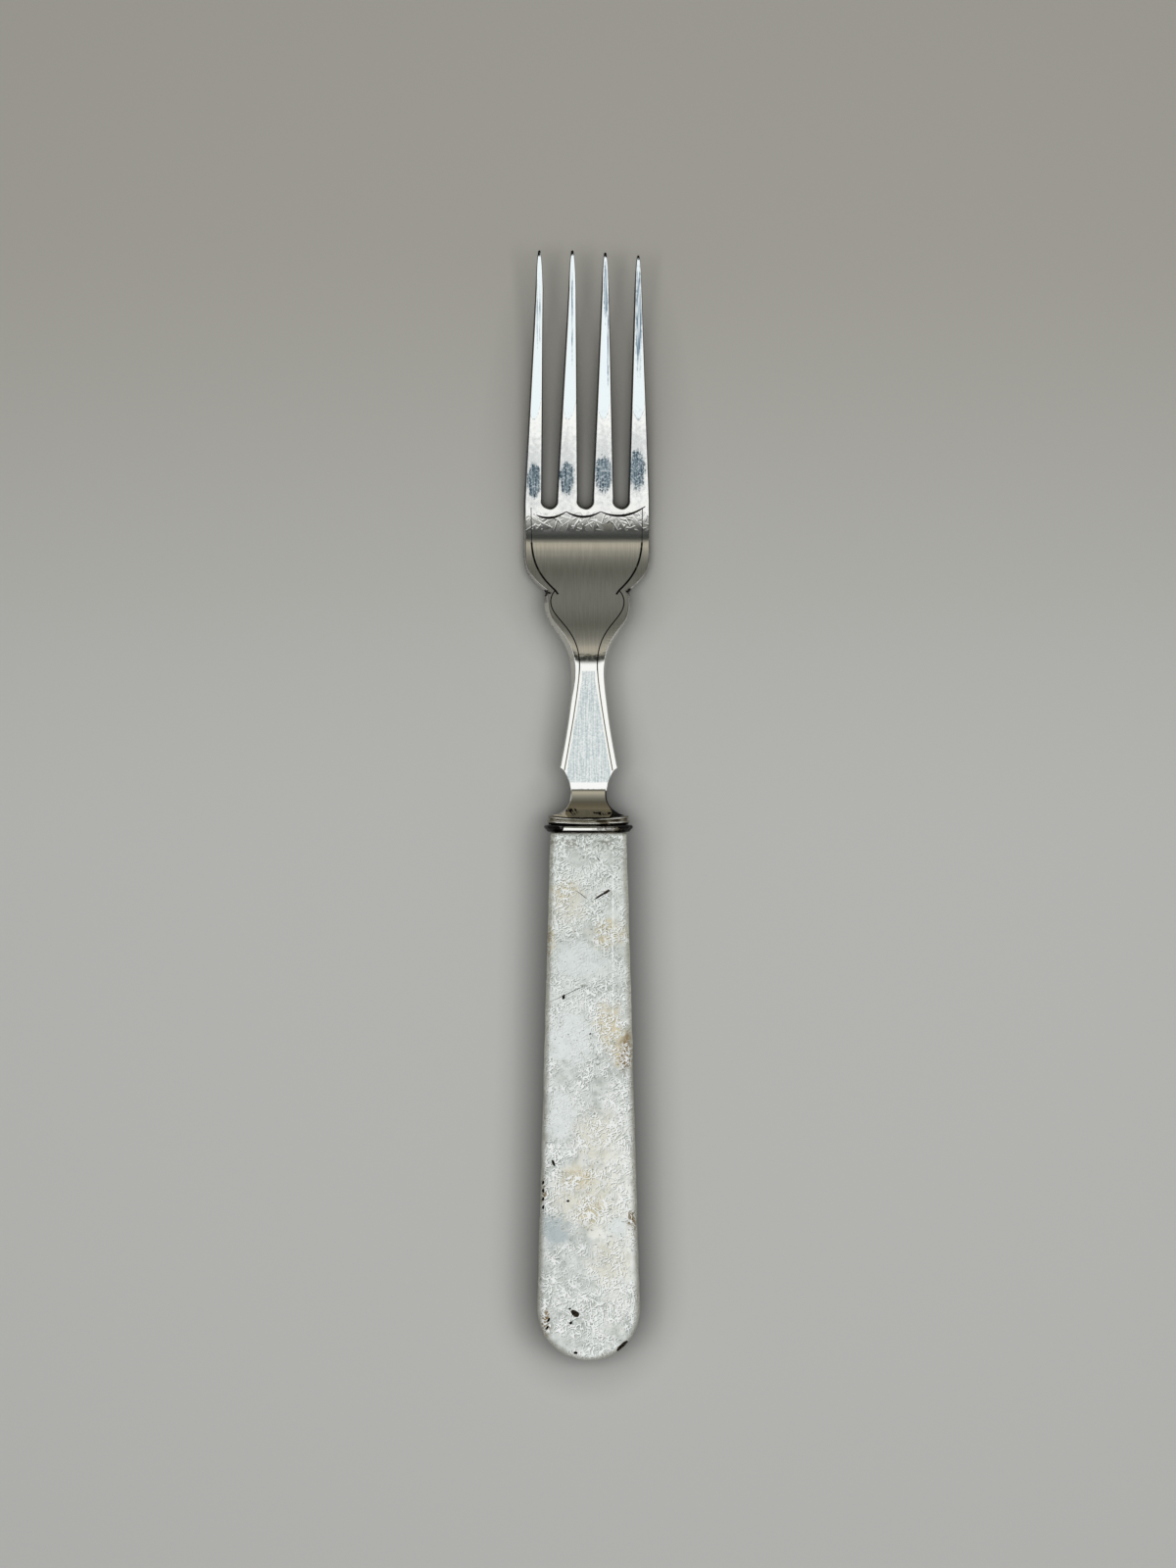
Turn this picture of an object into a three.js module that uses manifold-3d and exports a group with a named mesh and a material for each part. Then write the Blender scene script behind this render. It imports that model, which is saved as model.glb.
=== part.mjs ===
// A table fork with a stone handle, lying on its back.
// Millimetres, +Z up. Y runs along the fork towards the tips and X runs across it.
// The model is worked out from the stone's end face at y = 0, and moved at the end so that
// the origin lies under the middle of the fork, on the surface that it rests on.
import * as THREE from 'three';
import { mergeVertices } from 'three/addons/utils/BufferGeometryUtils.js';
import Module from 'manifold-3d';

// Stone handle
const handleLength = 90.2;
const handleEndWidth = 13.0;
const handleEndThickness = 9.2;
const handleButtWidth = 17.6;
const handleButtThickness = 12.0;
const handleEdgeRound = 1.5;
const handleEdgeDrop = 2.4;

// Bolster between the stone and the head
const beddingThickness = 0.2;
const beddingInset = 0.9;
const ringHeight = 1.2;
const ringOverhang = 1.1;
const ringWall = 2.2;
const ringRound = 0.5;
const collarHeight = 1.6;
const collarOverhang = 0.2;
const collarRound = 0.7;

// Tang and the bore that it is cemented into
const tangWidth = 3.0;
const tangThickness = 2.4;
const tangPointWidth = 1.4;
const tangDepth = 56;
const socketDepth = 1.6;
const cementWall = 0.9;
const boreBottomRoom = 2.0;
const fitClearance = 0.1;

// Lengths along the head, one after another from the foot to the tips
const footToWaist = 3.6;
const waistToCorner = 4.6;
const cornerToThroat = 15.7;
const throatToLobe = 12.6;
const lobeToNotch = 1.9;
const notchToShoulder = 7.3;
const shoulderToSlots = 7.1;
const tineLength = 44.0;

// Widths of the head
const footWidth = 12.4;
const waistWidth = 6.1;
const cornerWidth = 10.0;
const cornerLip = 0.6;
const throatWidth = 5.9;
const lobeWidth = 14.8;
const notchWidth = 14.3;
const bowlWidth = 21.9;
const rootsWidth = 21.7;

// Tines, slots and tips, with how far each tine is worn down, from left to right
const slotWidth = 2.45;
const slotPitch = 6.17;
const tipPitch = 5.52;
const tipWidth = 0.7;
const pointLength = 3.0;
const pointWidth = 1.3;
const tipWear = [0, 0, 0.35, 0.85];

// Heights and thicknesses of the head, seen from the side
const footThickness = 8.4;
const waistThickness = 2.6;
const panelStep = 0.6;
const panelBevel = 1.0;
const panelToCorner = 2.2;
const panelThickness = 3.4;
const crestRise = 3.9;
const crestPastThroat = 3.7;
const crestThickness = 3.0;
const heelPastShoulder = 2.5;
const heelThickness = 2.2;
const tipHeight = 9.6;
const tipThickness = 0.9;

// How the foot spreads to the collar, in plan and from the side, and how its corners are rounded
const footSpread = 1.0;
const footFlare = 1.2;
const footRound = 0.3;
const footRoundHeight = 2.4;

// Shares of a stretch over which a curve keeps the direction that it starts or ends with
const ovalPull = 0.7;
const covePull = 0.5;
const shankPull = 0.33;
const throatPull = 0.6;
const lobePull = 0.4;
const lipPull = 0.33;
const notchPull = 0.3;
const shoulderPull = 0.6;
const crestPull = 0.2;
const slopePull = 0.45;
const tinePull = 0.3;

// Fineness of the curves
const curveSteps = 12;
const ovalSteps = 9;
const roundSteps = 36;
const edgeSteps = 4;

// Places along the fork that follow from these lengths
const plateBase = beddingThickness;
const collarBase = plateBase + ringHeight;
const footBase = collarBase + collarHeight;
const waist = footBase + footToWaist;
const corner = waist + waistToCorner;
const throat = corner + cornerToThroat;
const lobe = throat + throatToLobe;
const notch = lobe + lobeToNotch;
const shoulder = notch + notchToShoulder;
const slotBottom = shoulder + shoulderToSlots;
const tips = slotBottom + tineLength;
const crest = throat + crestPastThroat;
const heel = shoulder + heelPastShoulder;
const panelStart = corner - panelToCorner;

// The handle lies on the lower edge of its butt, and its axis is level
const axisHeight = handleThicknessAt(handleEdgeRound - handleLength) / 2;

const ringHalfWidth = handleEndWidth / 2 + ringOverhang;
const ringHalfThickness = handleEndThickness / 2 + ringOverhang;

const wasm = await Module();
wasm.setup();

// A closed three.js geometry as a solid that can be joined and cut
function toSolid(geometry) {
  const bare = geometry.clone();
  bare.deleteAttribute('normal');
  bare.deleteAttribute('uv');
  const merged = mergeVertices(bare);
  return new wasm.Manifold(new wasm.Mesh({
    numProp: 3,
    vertProperties: merged.attributes.position.array,
    triVerts: new Uint32Array(merged.index.array),
  }));
}

function toMesh(name, solid, material) {
  const { vertProperties, triVerts } = solid.getMesh();
  const geometry = new THREE.BufferGeometry();
  geometry.setAttribute('position', new THREE.BufferAttribute(vertProperties, 3));
  geometry.setIndex(new THREE.BufferAttribute(triVerts, 1));
  geometry.computeVertexNormals();
  const mesh = new THREE.Mesh(geometry, material);
  mesh.name = name;
  return mesh;
}

// A shape drawn in plan, thickened evenly above and below a height
function planSlab(shape, thickness, height) {
  const geometry = new THREE.ExtrudeGeometry(shape, {
    depth: thickness,
    bevelEnabled: false,
    curveSegments: curveSteps,
  });
  return geometry.translate(0, 0, height - thickness / 2);
}

// An oval a little fuller than an ellipse, so that it covers the stone's rounded corners
function ovalShape(halfWidth, halfThickness) {
  const alongWidth = halfWidth * ovalPull;
  const alongThickness = halfThickness * ovalPull;
  const oval = new THREE.Shape();
  oval.moveTo(halfWidth, 0);
  oval.bezierCurveTo(halfWidth, alongThickness, alongWidth, halfThickness, 0, halfThickness);
  oval.bezierCurveTo(-alongWidth, halfThickness, -halfWidth, alongThickness, -halfWidth, 0);
  oval.bezierCurveTo(-halfWidth, -alongThickness, -alongWidth, -halfThickness, 0, -halfThickness);
  oval.bezierCurveTo(alongWidth, -halfThickness, halfWidth, -alongThickness, halfWidth, 0);
  return oval;
}

// An oval disc across the fork, its rim rounded by the given radius
function ovalDisc(halfWidth, halfThickness, base, height, round = 0) {
  const geometry = new THREE.ExtrudeGeometry(ovalShape(halfWidth, halfThickness), {
    depth: height - 2 * round,
    bevelEnabled: round > 0,
    bevelThickness: round,
    bevelSize: round,
    bevelOffset: -round,
    bevelSegments: edgeSteps,
    curveSegments: ovalSteps,
  });
  return toSolid(geometry.rotateX(-Math.PI / 2).translate(0, base + round, axisHeight));
}

function handleWidthAt(y) {
  return THREE.MathUtils.mapLinear(y, 0, -handleLength, handleEndWidth, handleButtWidth);
}

function handleThicknessAt(y) {
  return THREE.MathUtils.mapLinear(y, 0, -handleLength, handleEndThickness, handleButtThickness);
}

// Tang: a flat bar that tapers to a blunt point inside the stone
function tangSolid(clearance) {
  const halfWidth = tangWidth / 2 + clearance;
  const halfPoint = tangPointWidth / 2 + clearance;
  const top = footBase + socketDepth + clearance;
  const bottom = -tangDepth - clearance;
  const outline = new THREE.Shape();
  outline.moveTo(-halfWidth, top);
  outline.lineTo(-halfWidth, 0);
  outline.lineTo(-halfPoint, bottom);
  outline.lineTo(halfPoint, bottom);
  outline.lineTo(halfWidth, 0);
  outline.lineTo(halfWidth, top);
  outline.closePath();
  return toSolid(planSlab(outline, tangThickness + 2 * clearance, axisHeight));
}

// The bore in the stone, or with a clearance the cement that fills it
function boreSolid(clearance) {
  const radius = Math.hypot(tangWidth, tangThickness) / 2 + cementWall - clearance;
  const depth = tangDepth + boreBottomRoom - clearance;
  const geometry = new THREE.CylinderGeometry(radius, radius, depth, roundSteps);
  return toSolid(geometry.translate(0, -depth / 2, axisHeight));
}

// Stone handle: a slab with a round butt and rounded long edges, thinner towards the bolster
function handleSolid() {
  const buttRadius = handleButtWidth / 2;
  const overrun = handleEdgeRound;
  const outline = new THREE.Shape();
  outline.moveTo(handleWidthAt(overrun) / 2, overrun);
  outline.lineTo(-handleWidthAt(overrun) / 2, overrun);
  outline.lineTo(-buttRadius, buttRadius - handleLength);
  outline.absarc(0, buttRadius - handleLength, buttRadius, Math.PI, 2 * Math.PI, false);
  outline.closePath();
  const depth = handleButtThickness - 2 * handleEdgeDrop;
  const slab = new THREE.ExtrudeGeometry(outline, {
    depth,
    bevelThickness: handleEdgeDrop,
    bevelSize: handleEdgeRound,
    bevelOffset: -handleEdgeRound,
    bevelSegments: edgeSteps,
    curveSegments: curveSteps,
  });
  const position = slab.translate(0, 0, -depth / 2).attributes.position;
  for (let i = 0; i < position.count; i += 1) {
    const taper = handleThicknessAt(position.getY(i)) / handleButtThickness;
    position.setZ(i, axisHeight + position.getZ(i) * taper);
  }
  const blockSize = 2 * handleButtWidth;
  const block = new THREE.BoxGeometry(blockSize, blockSize, blockSize);
  const beyondEnd = toSolid(block.translate(0, blockSize / 2, axisHeight));
  return toSolid(slab).subtract(beyondEnd).subtract(boreSolid(0));
}

// Cement: the filling of the bore and the thin bed under the plate
function cementSolid() {
  const halfWidth = handleEndWidth / 2 - beddingInset;
  const halfThickness = handleEndThickness / 2 - beddingInset;
  const bed = ovalDisc(halfWidth, halfThickness, 0, beddingThickness);
  return boreSolid(fitClearance).add(bed).subtract(tangSolid(fitClearance));
}

function ringSolid() {
  const rim = ovalDisc(ringHalfWidth, ringHalfThickness, plateBase, ringHeight, ringRound);
  const opening = ovalDisc(
    ringHalfWidth - ringWall, ringHalfThickness - ringWall, plateBase - ringHeight, 3 * ringHeight);
  return rim.subtract(opening);
}

function plateSolid() {
  const halfWidth = ringHalfWidth - ringWall - fitClearance;
  const halfThickness = ringHalfThickness - ringWall - fitClearance;
  return ovalDisc(halfWidth, halfThickness, plateBase, ringHeight).subtract(tangSolid(fitClearance));
}

function collarSolid() {
  const halfWidth = handleEndWidth / 2 + collarOverhang;
  const halfThickness = handleEndThickness / 2 + collarOverhang;
  const disc = ovalDisc(halfWidth, halfThickness, collarBase, collarHeight, collarRound);
  return disc.subtract(tangSolid(fitClearance));
}

// Head seen in plan: the right-hand edge from the foot up to the root of the outer tine
function headSide() {
  const lipX = cornerWidth / 2 - cornerLip;
  const lipY = corner - cornerLip;
  const edge = new THREE.Path();
  edge.moveTo(footWidth / 2, footBase);
  edge.quadraticCurveTo(waistWidth / 2, footBase + footSpread, waistWidth / 2, waist);
  edge.bezierCurveTo(
    waistWidth / 2, waist + waistToCorner * covePull,
    lipX - cornerLip, lipY,
    lipX, lipY);
  edge.lineTo(cornerWidth / 2, corner);
  edge.quadraticCurveTo(throatWidth / 2, throat - cornerToThroat * shankPull, throatWidth / 2, throat);
  edge.bezierCurveTo(
    throatWidth / 2, throat + throatToLobe * throatPull,
    lobeWidth / 2, lobe - throatToLobe * lobePull,
    lobeWidth / 2, lobe);
  edge.quadraticCurveTo(lobeWidth / 2, notch - lobeToNotch * lipPull, notchWidth / 2, notch);
  edge.bezierCurveTo(
    notchWidth / 2 + notchToShoulder * notchPull, notch + notchToShoulder * notchPull,
    bowlWidth / 2, shoulder - notchToShoulder * shoulderPull,
    bowlWidth / 2, shoulder);
  edge.lineTo(rootsWidth / 2, slotBottom + slotWidth / 2);
  return edge.getPoints(curveSteps);
}

// Head in plan: both edges, and the tines from right to left with a round slot between two
function headOutline() {
  const side = headSide();
  const outline = new THREE.Shape(side);
  const rootY = slotBottom + slotWidth / 2;
  const lastTine = tipWear.length - 1;
  for (let tine = lastTine; tine >= 0; tine -= 1) {
    const fromMiddle = tine - lastTine / 2;
    const isLeftmost = tine === 0;
    const tipX = fromMiddle * tipPitch;
    const tipY = tips - tipWear[tine];
    const roundY = tipY - tipWidth / 2;
    const slotX = (fromMiddle - 0.5) * slotPitch;
    const leftRoot = isLeftmost ? -rootsWidth / 2 : slotX + slotWidth / 2;
    outline.lineTo(tipX + pointWidth / 2, tipY - pointLength);
    outline.quadraticCurveTo(tipX + pointWidth / 2, tipY - tipWidth, tipX + tipWidth / 2, roundY);
    outline.absarc(tipX, roundY, tipWidth / 2, 0, Math.PI, false);
    outline.quadraticCurveTo(tipX - pointWidth / 2, tipY - tipWidth, tipX - pointWidth / 2, tipY - pointLength);
    outline.lineTo(leftRoot, rootY);
    if (!isLeftmost) outline.absarc(slotX, rootY, slotWidth / 2, 0, Math.PI, true);
  }
  for (const point of side.reverse()) outline.lineTo(-point.x, point.y);
  outline.closePath();
  return outline;
}

// Head seen from the side: over the top from the foot to the tips, and back underneath
function headProfile() {
  const waistTop = axisHeight + waistThickness / 2;
  const waistBottom = axisHeight - waistThickness / 2;
  const panelTop = waistTop + panelStep;
  const panelBottom = panelTop - panelThickness;
  const crestTop = axisHeight + crestRise;
  const crestBottom = crestTop - crestThickness;
  const creaseStart = panelStart - panelBevel;
  const towardsCrest = crest - (crest - panelStart) * crestPull;
  const downFromCrest = crest + (heel - crest) * slopePull;
  const downToHeel = heel - (heel - crest) * slopePull;
  const towardsTips = heel + (tips - heel) * tinePull;
  const profile = new THREE.Shape();
  profile.moveTo(footBase, axisHeight + footThickness / 2);
  profile.quadraticCurveTo(footBase + footFlare, waistTop, creaseStart, waistTop);
  profile.lineTo(panelStart, panelTop);
  profile.quadraticCurveTo(towardsCrest, crestTop, crest, crestTop);
  profile.bezierCurveTo(downFromCrest, crestTop, downToHeel, heelThickness, heel, heelThickness);
  profile.quadraticCurveTo(towardsTips, heelThickness, tips, tipHeight);
  profile.lineTo(tips, tipHeight - tipThickness);
  profile.quadraticCurveTo(towardsTips, 0, heel, 0);
  profile.bezierCurveTo(downToHeel, 0, downFromCrest, crestBottom, crest, crestBottom);
  profile.quadraticCurveTo(towardsCrest, crestBottom, panelStart, panelBottom);
  profile.lineTo(creaseStart, waistBottom);
  profile.quadraticCurveTo(footBase + footFlare, waistBottom, footBase, axisHeight - footThickness / 2);
  profile.closePath();
  return profile;
}

// What rounds the foot to the collar's oval: an oval cone at the foot, wide open beyond it
function footEnvelope() {
  const wide = tips;
  const halfWidth = footWidth / 2 + footRound;
  const flared = halfWidth + footRoundHeight;
  const top = footBase + footRoundHeight;
  const profile = [[0, footBase], [halfWidth, footBase], [flared, top], [wide, top], [wide, wide], [0, wide]];
  const points = profile.map(([radius, y]) => new THREE.Vector2(radius, y));
  const geometry = new THREE.LatheGeometry(points, roundSteps);
  const squeeze = (footThickness / 2 + footRound) / halfWidth;
  return toSolid(geometry.scale(1, 1, squeeze).translate(0, 0, axisHeight));
}

// The head is what its plan and its side view have in common
function headSolid() {
  const plan = planSlab(headOutline(), 2 * (axisHeight + crestRise + tipHeight), axisHeight);
  const side = planSlab(headProfile(), 2 * bowlWidth, 0);
  const alongFork = new THREE.Vector3(0, 1, 0);
  const upwards = new THREE.Vector3(0, 0, 1);
  const acrossFork = new THREE.Vector3(1, 0, 0);
  side.applyMatrix4(new THREE.Matrix4().makeBasis(alongFork, upwards, acrossFork));
  const blank = toSolid(plan).intersect(toSolid(side));
  return blank.intersect(footEnvelope()).subtract(tangSolid(fitClearance));
}

const silver = new THREE.MeshStandardMaterial({ color: 0xd6d8d4, roughness: 0.25, metalness: 1 });
const tarnished = new THREE.MeshStandardMaterial({ color: 0xa9a69a, roughness: 0.35, metalness: 1 });
const steel = new THREE.MeshStandardMaterial({ color: 0x8b8d8f, roughness: 0.5, metalness: 1 });
const cement = new THREE.MeshStandardMaterial({ color: 0x9b968a, roughness: 0.9, metalness: 0 });
const stone = new THREE.MeshStandardMaterial({ color: 0xd3d5cf, roughness: 0.4, metalness: 0 });

const fork = new THREE.Group();
fork.add(toMesh('fork_head', headSolid(), silver));
fork.add(toMesh('bolster_collar', collarSolid(), silver));
fork.add(toMesh('bead_ring', ringSolid(), tarnished));
fork.add(toMesh('seat_plate', plateSolid(), tarnished));
fork.add(toMesh('tang', tangSolid(0), steel));
fork.add(toMesh('tang_cement', cementSolid(), cement));
fork.add(toMesh('stone_handle', handleSolid(), stone));
fork.position.y = (handleLength - tips) / 2;

export default fork;
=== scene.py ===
# %% [markdown]
# # A table fork with a stone handle
# The fork lies on its back: four tines, a bowl and a waisted shank forged in one piece, a
# two-part oval bolster, and a flat tapering handle of pale stone. The frame already holds every
# piece at its place and size. This lesson models the four pieces that show once more, with the
# fine edges, engraving, pits and wear that a faceted solid lacks, and gives the hidden pieces a
# finish of their own.

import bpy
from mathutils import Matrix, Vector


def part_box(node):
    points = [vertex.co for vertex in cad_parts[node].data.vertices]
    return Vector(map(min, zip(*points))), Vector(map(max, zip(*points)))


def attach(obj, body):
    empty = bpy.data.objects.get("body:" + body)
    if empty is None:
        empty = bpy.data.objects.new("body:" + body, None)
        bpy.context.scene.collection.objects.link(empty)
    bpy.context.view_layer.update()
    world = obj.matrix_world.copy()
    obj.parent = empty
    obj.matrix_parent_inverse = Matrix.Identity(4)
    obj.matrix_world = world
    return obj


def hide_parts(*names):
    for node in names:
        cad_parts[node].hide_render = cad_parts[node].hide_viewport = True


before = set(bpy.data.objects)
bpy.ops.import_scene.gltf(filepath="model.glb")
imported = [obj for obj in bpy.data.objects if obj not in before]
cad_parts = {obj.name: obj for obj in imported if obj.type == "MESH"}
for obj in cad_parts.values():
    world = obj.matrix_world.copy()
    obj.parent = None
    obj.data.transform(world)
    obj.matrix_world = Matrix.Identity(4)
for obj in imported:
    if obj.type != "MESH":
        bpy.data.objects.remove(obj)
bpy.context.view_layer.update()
print("nodes in the frame:", sorted(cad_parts))

# %% [markdown]
# ## Places and sizes
# Small cutlery is easiest to think of in millimetres, while the frame is in metres. So every
# piece is modelled in millimetres at its place in the frame, and is scaled once when it becomes an
# object. The frame gives the places that pieces share: where the stone ends, where the foot of the
# neck stands and how high the fork's axis lies.

# %% Read the shared places
import math

import bmesh
import bpy
from mathutils import Matrix, Vector, noise
from mathutils.geometry import interpolate_bezier

MM = 0.001


def box_in_mm(node):
    low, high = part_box(node)
    return low / MM, high / MM


head_low, head_high = box_in_mm("fork_head")
collar_low, collar_high = box_in_mm("bolster_collar")
ring_low, ring_high = box_in_mm("bead_ring")
plate_low, plate_high = box_in_mm("seat_plate")
tang_low, tang_high = box_in_mm("tang")
stone_low, stone_high = box_in_mm("stone_handle")
axis_height = (collar_low.z + collar_high.z) / 2
foot = head_low.y
tips = head_high.y
stone_end = stone_high.y
butt = stone_low.y
print(f"butt {butt:.1f}, stone end {stone_end:.1f}, foot {foot:.1f}, tips {tips:.1f} mm")
print(f"the axis lies {axis_height:.2f} mm above the floor")

# %% [markdown]
# ## From bmesh to piece
# Every piece takes the same last steps: the bmesh becomes a mesh, booleans cut or join it with
# helper objects, and the finished mesh is scaled to metres and tied to the frame. Faces shade
# smoothly except across sharp edges, and the Weighted Normal modifier keeps broad faces flat
# beside narrow rims.

# %% Helpers for meshes and pieces
SHARP_ANGLE = math.radians(34)


def mesh_from(bm, name):
    mesh = bpy.data.meshes.new(name)
    bm.to_mesh(mesh)
    bm.free()
    return mesh


def face_outwards(bm):
    """Turns all faces outwards; a closed mesh with a volume below zero is inside out."""
    bmesh.ops.recalc_face_normals(bm, faces=bm.faces)
    if bm.calc_volume(signed=True) < 0:
        bmesh.ops.reverse_faces(bm, faces=bm.faces)


def add_object(name, data):
    thing = bpy.data.objects.new(name, data)
    bpy.context.collection.objects.link(thing)
    return thing


def evaluated_mesh(thing):
    """The mesh of an object with its modifiers applied."""
    depsgraph = bpy.context.evaluated_depsgraph_get()
    return bpy.data.meshes.new_from_object(thing.evaluated_get(depsgraph))


def combine(base_mesh, tool_mesh, operation):
    """Cuts or joins two meshes; a cut keeps the tool's material."""
    base = add_object("base", base_mesh)
    tool = add_object("tool", tool_mesh)
    modifier = base.modifiers.new("combine", "BOOLEAN")
    modifier.operation = operation
    modifier.solver = "EXACT"
    modifier.material_mode = "TRANSFER"
    modifier.object = tool
    mesh = evaluated_mesh(base)
    for helper in (base, tool):
        bpy.data.objects.remove(helper)
    return mesh


def sharpen_borders(mesh):
    """Marks edges between two materials as sharp, so that a groove doesn't shade the face beside it."""
    bm = bmesh.new()
    bm.from_mesh(mesh)
    for edge in bm.edges:
        if len({face.material_index for face in edge.link_faces}) > 1:
            edge.smooth = False
    bm.to_mesh(mesh)
    bm.free()


def finish_piece(name, mesh, node):
    """Scales a mesh to metres and makes it the piece that stands for a node."""
    mesh.transform(Matrix.Scale(MM, 4))
    mesh.shade_smooth()
    mesh.set_sharp_from_angle(angle=SHARP_ANGLE)
    sharpen_borders(mesh)
    piece = add_object(name, mesh)
    normals = piece.modifiers.new("even_shading", "WEIGHTED_NORMAL")
    normals.keep_sharp = True
    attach(piece, "root")
    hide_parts(node)
    print(f"{name}: {len(mesh.polygons)} faces, materials {[material.name for material in mesh.materials]}")


def ease(value, start, end):
    """0 before start, 1 after end and a smooth change between them."""
    share = min(max((value - start) / (end - start), 0), 1)
    return share * share * (3 - 2 * share)


print("halfway through an ease:", ease(0.5, 0, 1))

# %% [markdown]
# ## Curves with few points
# The outline of the head is a chain of gentle curves. Each is a Bezier curve with two end points
# and a pull, so the list of points stays as short as the drawing that a smith would follow.

# %% Helpers for curves
CURVE_STEPS = 14


def line(start, end, steps=1):
    return [start.lerp(end, step / steps) for step in range(steps)]


def sweep(start, first_pull, second_pull, end, steps=CURVE_STEPS):
    """A curve with a pull at each end; its last point is left to the next stretch."""
    return interpolate_bezier(start, first_pull, second_pull, end, steps + 1)[:-1]


def bend(start, pull, end, steps=CURVE_STEPS):
    """A simple bend with one pull, like a bent spring."""
    share = 2 / 3
    return sweep(start, start.lerp(pull, share), end.lerp(pull, share), end, steps)


def arc(centre, radius, start_angle, end_angle, steps=CURVE_STEPS):
    """Points on an arc, without its last one. Angles are in degrees from +X."""
    points = []
    for step in range(steps):
        angle = math.radians(start_angle + (end_angle - start_angle) * step / steps)
        points.append(centre + radius * Vector((math.cos(angle), math.sin(angle))))
    return points


def height_on(points, station):
    """The height of a curve that runs from left to right, at one station."""
    for before, after in zip(points, points[1:]):
        if station <= after.x:
            share = (station - before.x) / (after.x - before.x)
            return before.y + share * (after.y - before.y)
    return points[-1].y


print("a bend has", len(bend(Vector((0, 0)), Vector((1, 0)), Vector((1, 1)))), "points")

# %% [markdown]
# ## The head's stations
# Reading from the foot to the tips, the neck narrows to a waist, the flat panel starts with a
# filed bevel and two clipped corners, the shank narrows to the throat, swells into a lobe with a
# notch behind it, and opens to the bowl. The slots then part the four tines.

# %% Stations and widths of the head
WAIST = foot + 3.6
CREASE = foot + 4.6
PANEL = foot + 5.6
CORNER = foot + 8.2
THROAT = foot + 23.9
CREST = foot + 26.5
LOBE = foot + 36.5
NOTCH = foot + 38.4
SHOULDER = foot + 45.7
HEEL = foot + 48.2
SLOT_BOTTOM = foot + 53.1

FOOT_HALF = 6.2
WAIST_HALF = 3.05
CREASE_HALF = 3.2
CORNER_HALF = 5.1
CORNER_CLIP = 0.4
THROAT_HALF = 2.95
LOBE_HALF = 7.4
NOTCH_HALF = 7.15
BOWL_HALF = 10.95
ROOTS_HALF = 10.85

SLOT_RADIUS = 1.225
SLOT_PITCH = 6.2
SLOT_SHIFT = -0.3
TINE_COUNT = 4
TIP_PITCH = 5.65
TIP_LEAN = 0.35
TIP_RADIUS = 0.22
POINT_LENGTH = 6.5
POINT_HALF = 0.67
POINT_PULL = Vector((0.5, -2.0))
TIP_WEAR = (0.0, 0.0, 0.35, 0.85)
ROOT_LINE = SLOT_BOTTOM + SLOT_RADIUS
print(f"tines {tips - SLOT_BOTTOM:.1f} mm long, bowl {2 * BOWL_HALF:.1f} mm wide")

# %% [markdown]
# ## The outline seen from above
# One side of the head is drawn once and mirrored. The tines lie between the two sides: each one
# runs straight to a worn point, and a half round joins it to the next across a slot. The
# two right-hand tines are a little shorter, worn down by use.

# %% Draw the sides
NECK_INSET = 0.15
NECK_OVERLAP = 0.6
CREASE_SWELL = 0.15
THROAT_REACH = 5.2
THROAT_PULL = 7.56
LOBE_PULL = 5.04
NOTCH_ROUND = 0.63
NOTCH_PULL = 2.19
SHOULDER_PULL = 4.38


def right_side():
    """The right edge from inside the neck up to the roots of the tines."""
    inside_neck = Vector((WAIST_HALF - NECK_INSET, WAIST - NECK_OVERLAP))
    crease = Vector((CREASE_HALF, CREASE))
    clip = Vector((CORNER_HALF - CORNER_CLIP, CORNER - CORNER_CLIP))
    corner = Vector((CORNER_HALF, CORNER))
    throat = Vector((THROAT_HALF, THROAT))
    lobe = Vector((LOBE_HALF, LOBE))
    notch = Vector((NOTCH_HALF, NOTCH))
    shoulder = Vector((BOWL_HALF, SHOULDER))
    roots = Vector((ROOTS_HALF, ROOT_LINE))
    points = line(inside_neck, crease, 4)
    points += sweep(crease, Vector((CREASE_HALF + CREASE_SWELL, PANEL)),
                    clip - Vector((CORNER_CLIP, 0)), clip)
    points += line(clip, corner)
    points += bend(corner, throat - Vector((0, THROAT_REACH)), throat, 2 * CURVE_STEPS)
    points += sweep(throat, throat + Vector((0, THROAT_PULL)),
                    lobe - Vector((0, LOBE_PULL)), lobe, 2 * CURVE_STEPS)
    points += bend(lobe, Vector((LOBE_HALF, NOTCH - NOTCH_ROUND)), notch)
    points += sweep(notch, notch + Vector((NOTCH_PULL, NOTCH_PULL)),
                    shoulder - Vector((0, SHOULDER_PULL)), shoulder)
    return points + line(shoulder, roots, 4)


def mirrored(points):
    return [Vector((-point.x, point.y)) for point in reversed(points)]


side = right_side()
print("one side has", len(side), "points")

# %% Draw the tines and close the outline
TINE_STEPS = 6


def tip_x(number):
    """Tines are counted from left to right, from 0; on the blank all lean a hair to the right."""
    return (number - (TINE_COUNT - 1) / 2) * TIP_PITCH + TIP_LEAN


def slot_x(number):
    return (number - 1) * SLOT_PITCH + SLOT_SHIFT


def half_tine(root, number, way):
    """One edge of a tine from its root to the middle of its tip; way is 1 for right, -1 for left."""
    x = tip_x(number)
    tip = tips - TIP_WEAR[number]
    shoulder = Vector((x + way * POINT_HALF, tip - POINT_LENGTH))
    end = Vector((x + way * TIP_RADIUS, tip - TIP_RADIUS))
    points = line(root, shoulder, TINE_STEPS)
    pull = Vector((x + way * POINT_PULL.x, tip + POINT_PULL.y))
    points += bend(shoulder, pull, end, TINE_STEPS)
    return points + arc(Vector((x, tip - TIP_RADIUS)), TIP_RADIUS, 90 - 90 * way, 90, TINE_STEPS)


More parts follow.
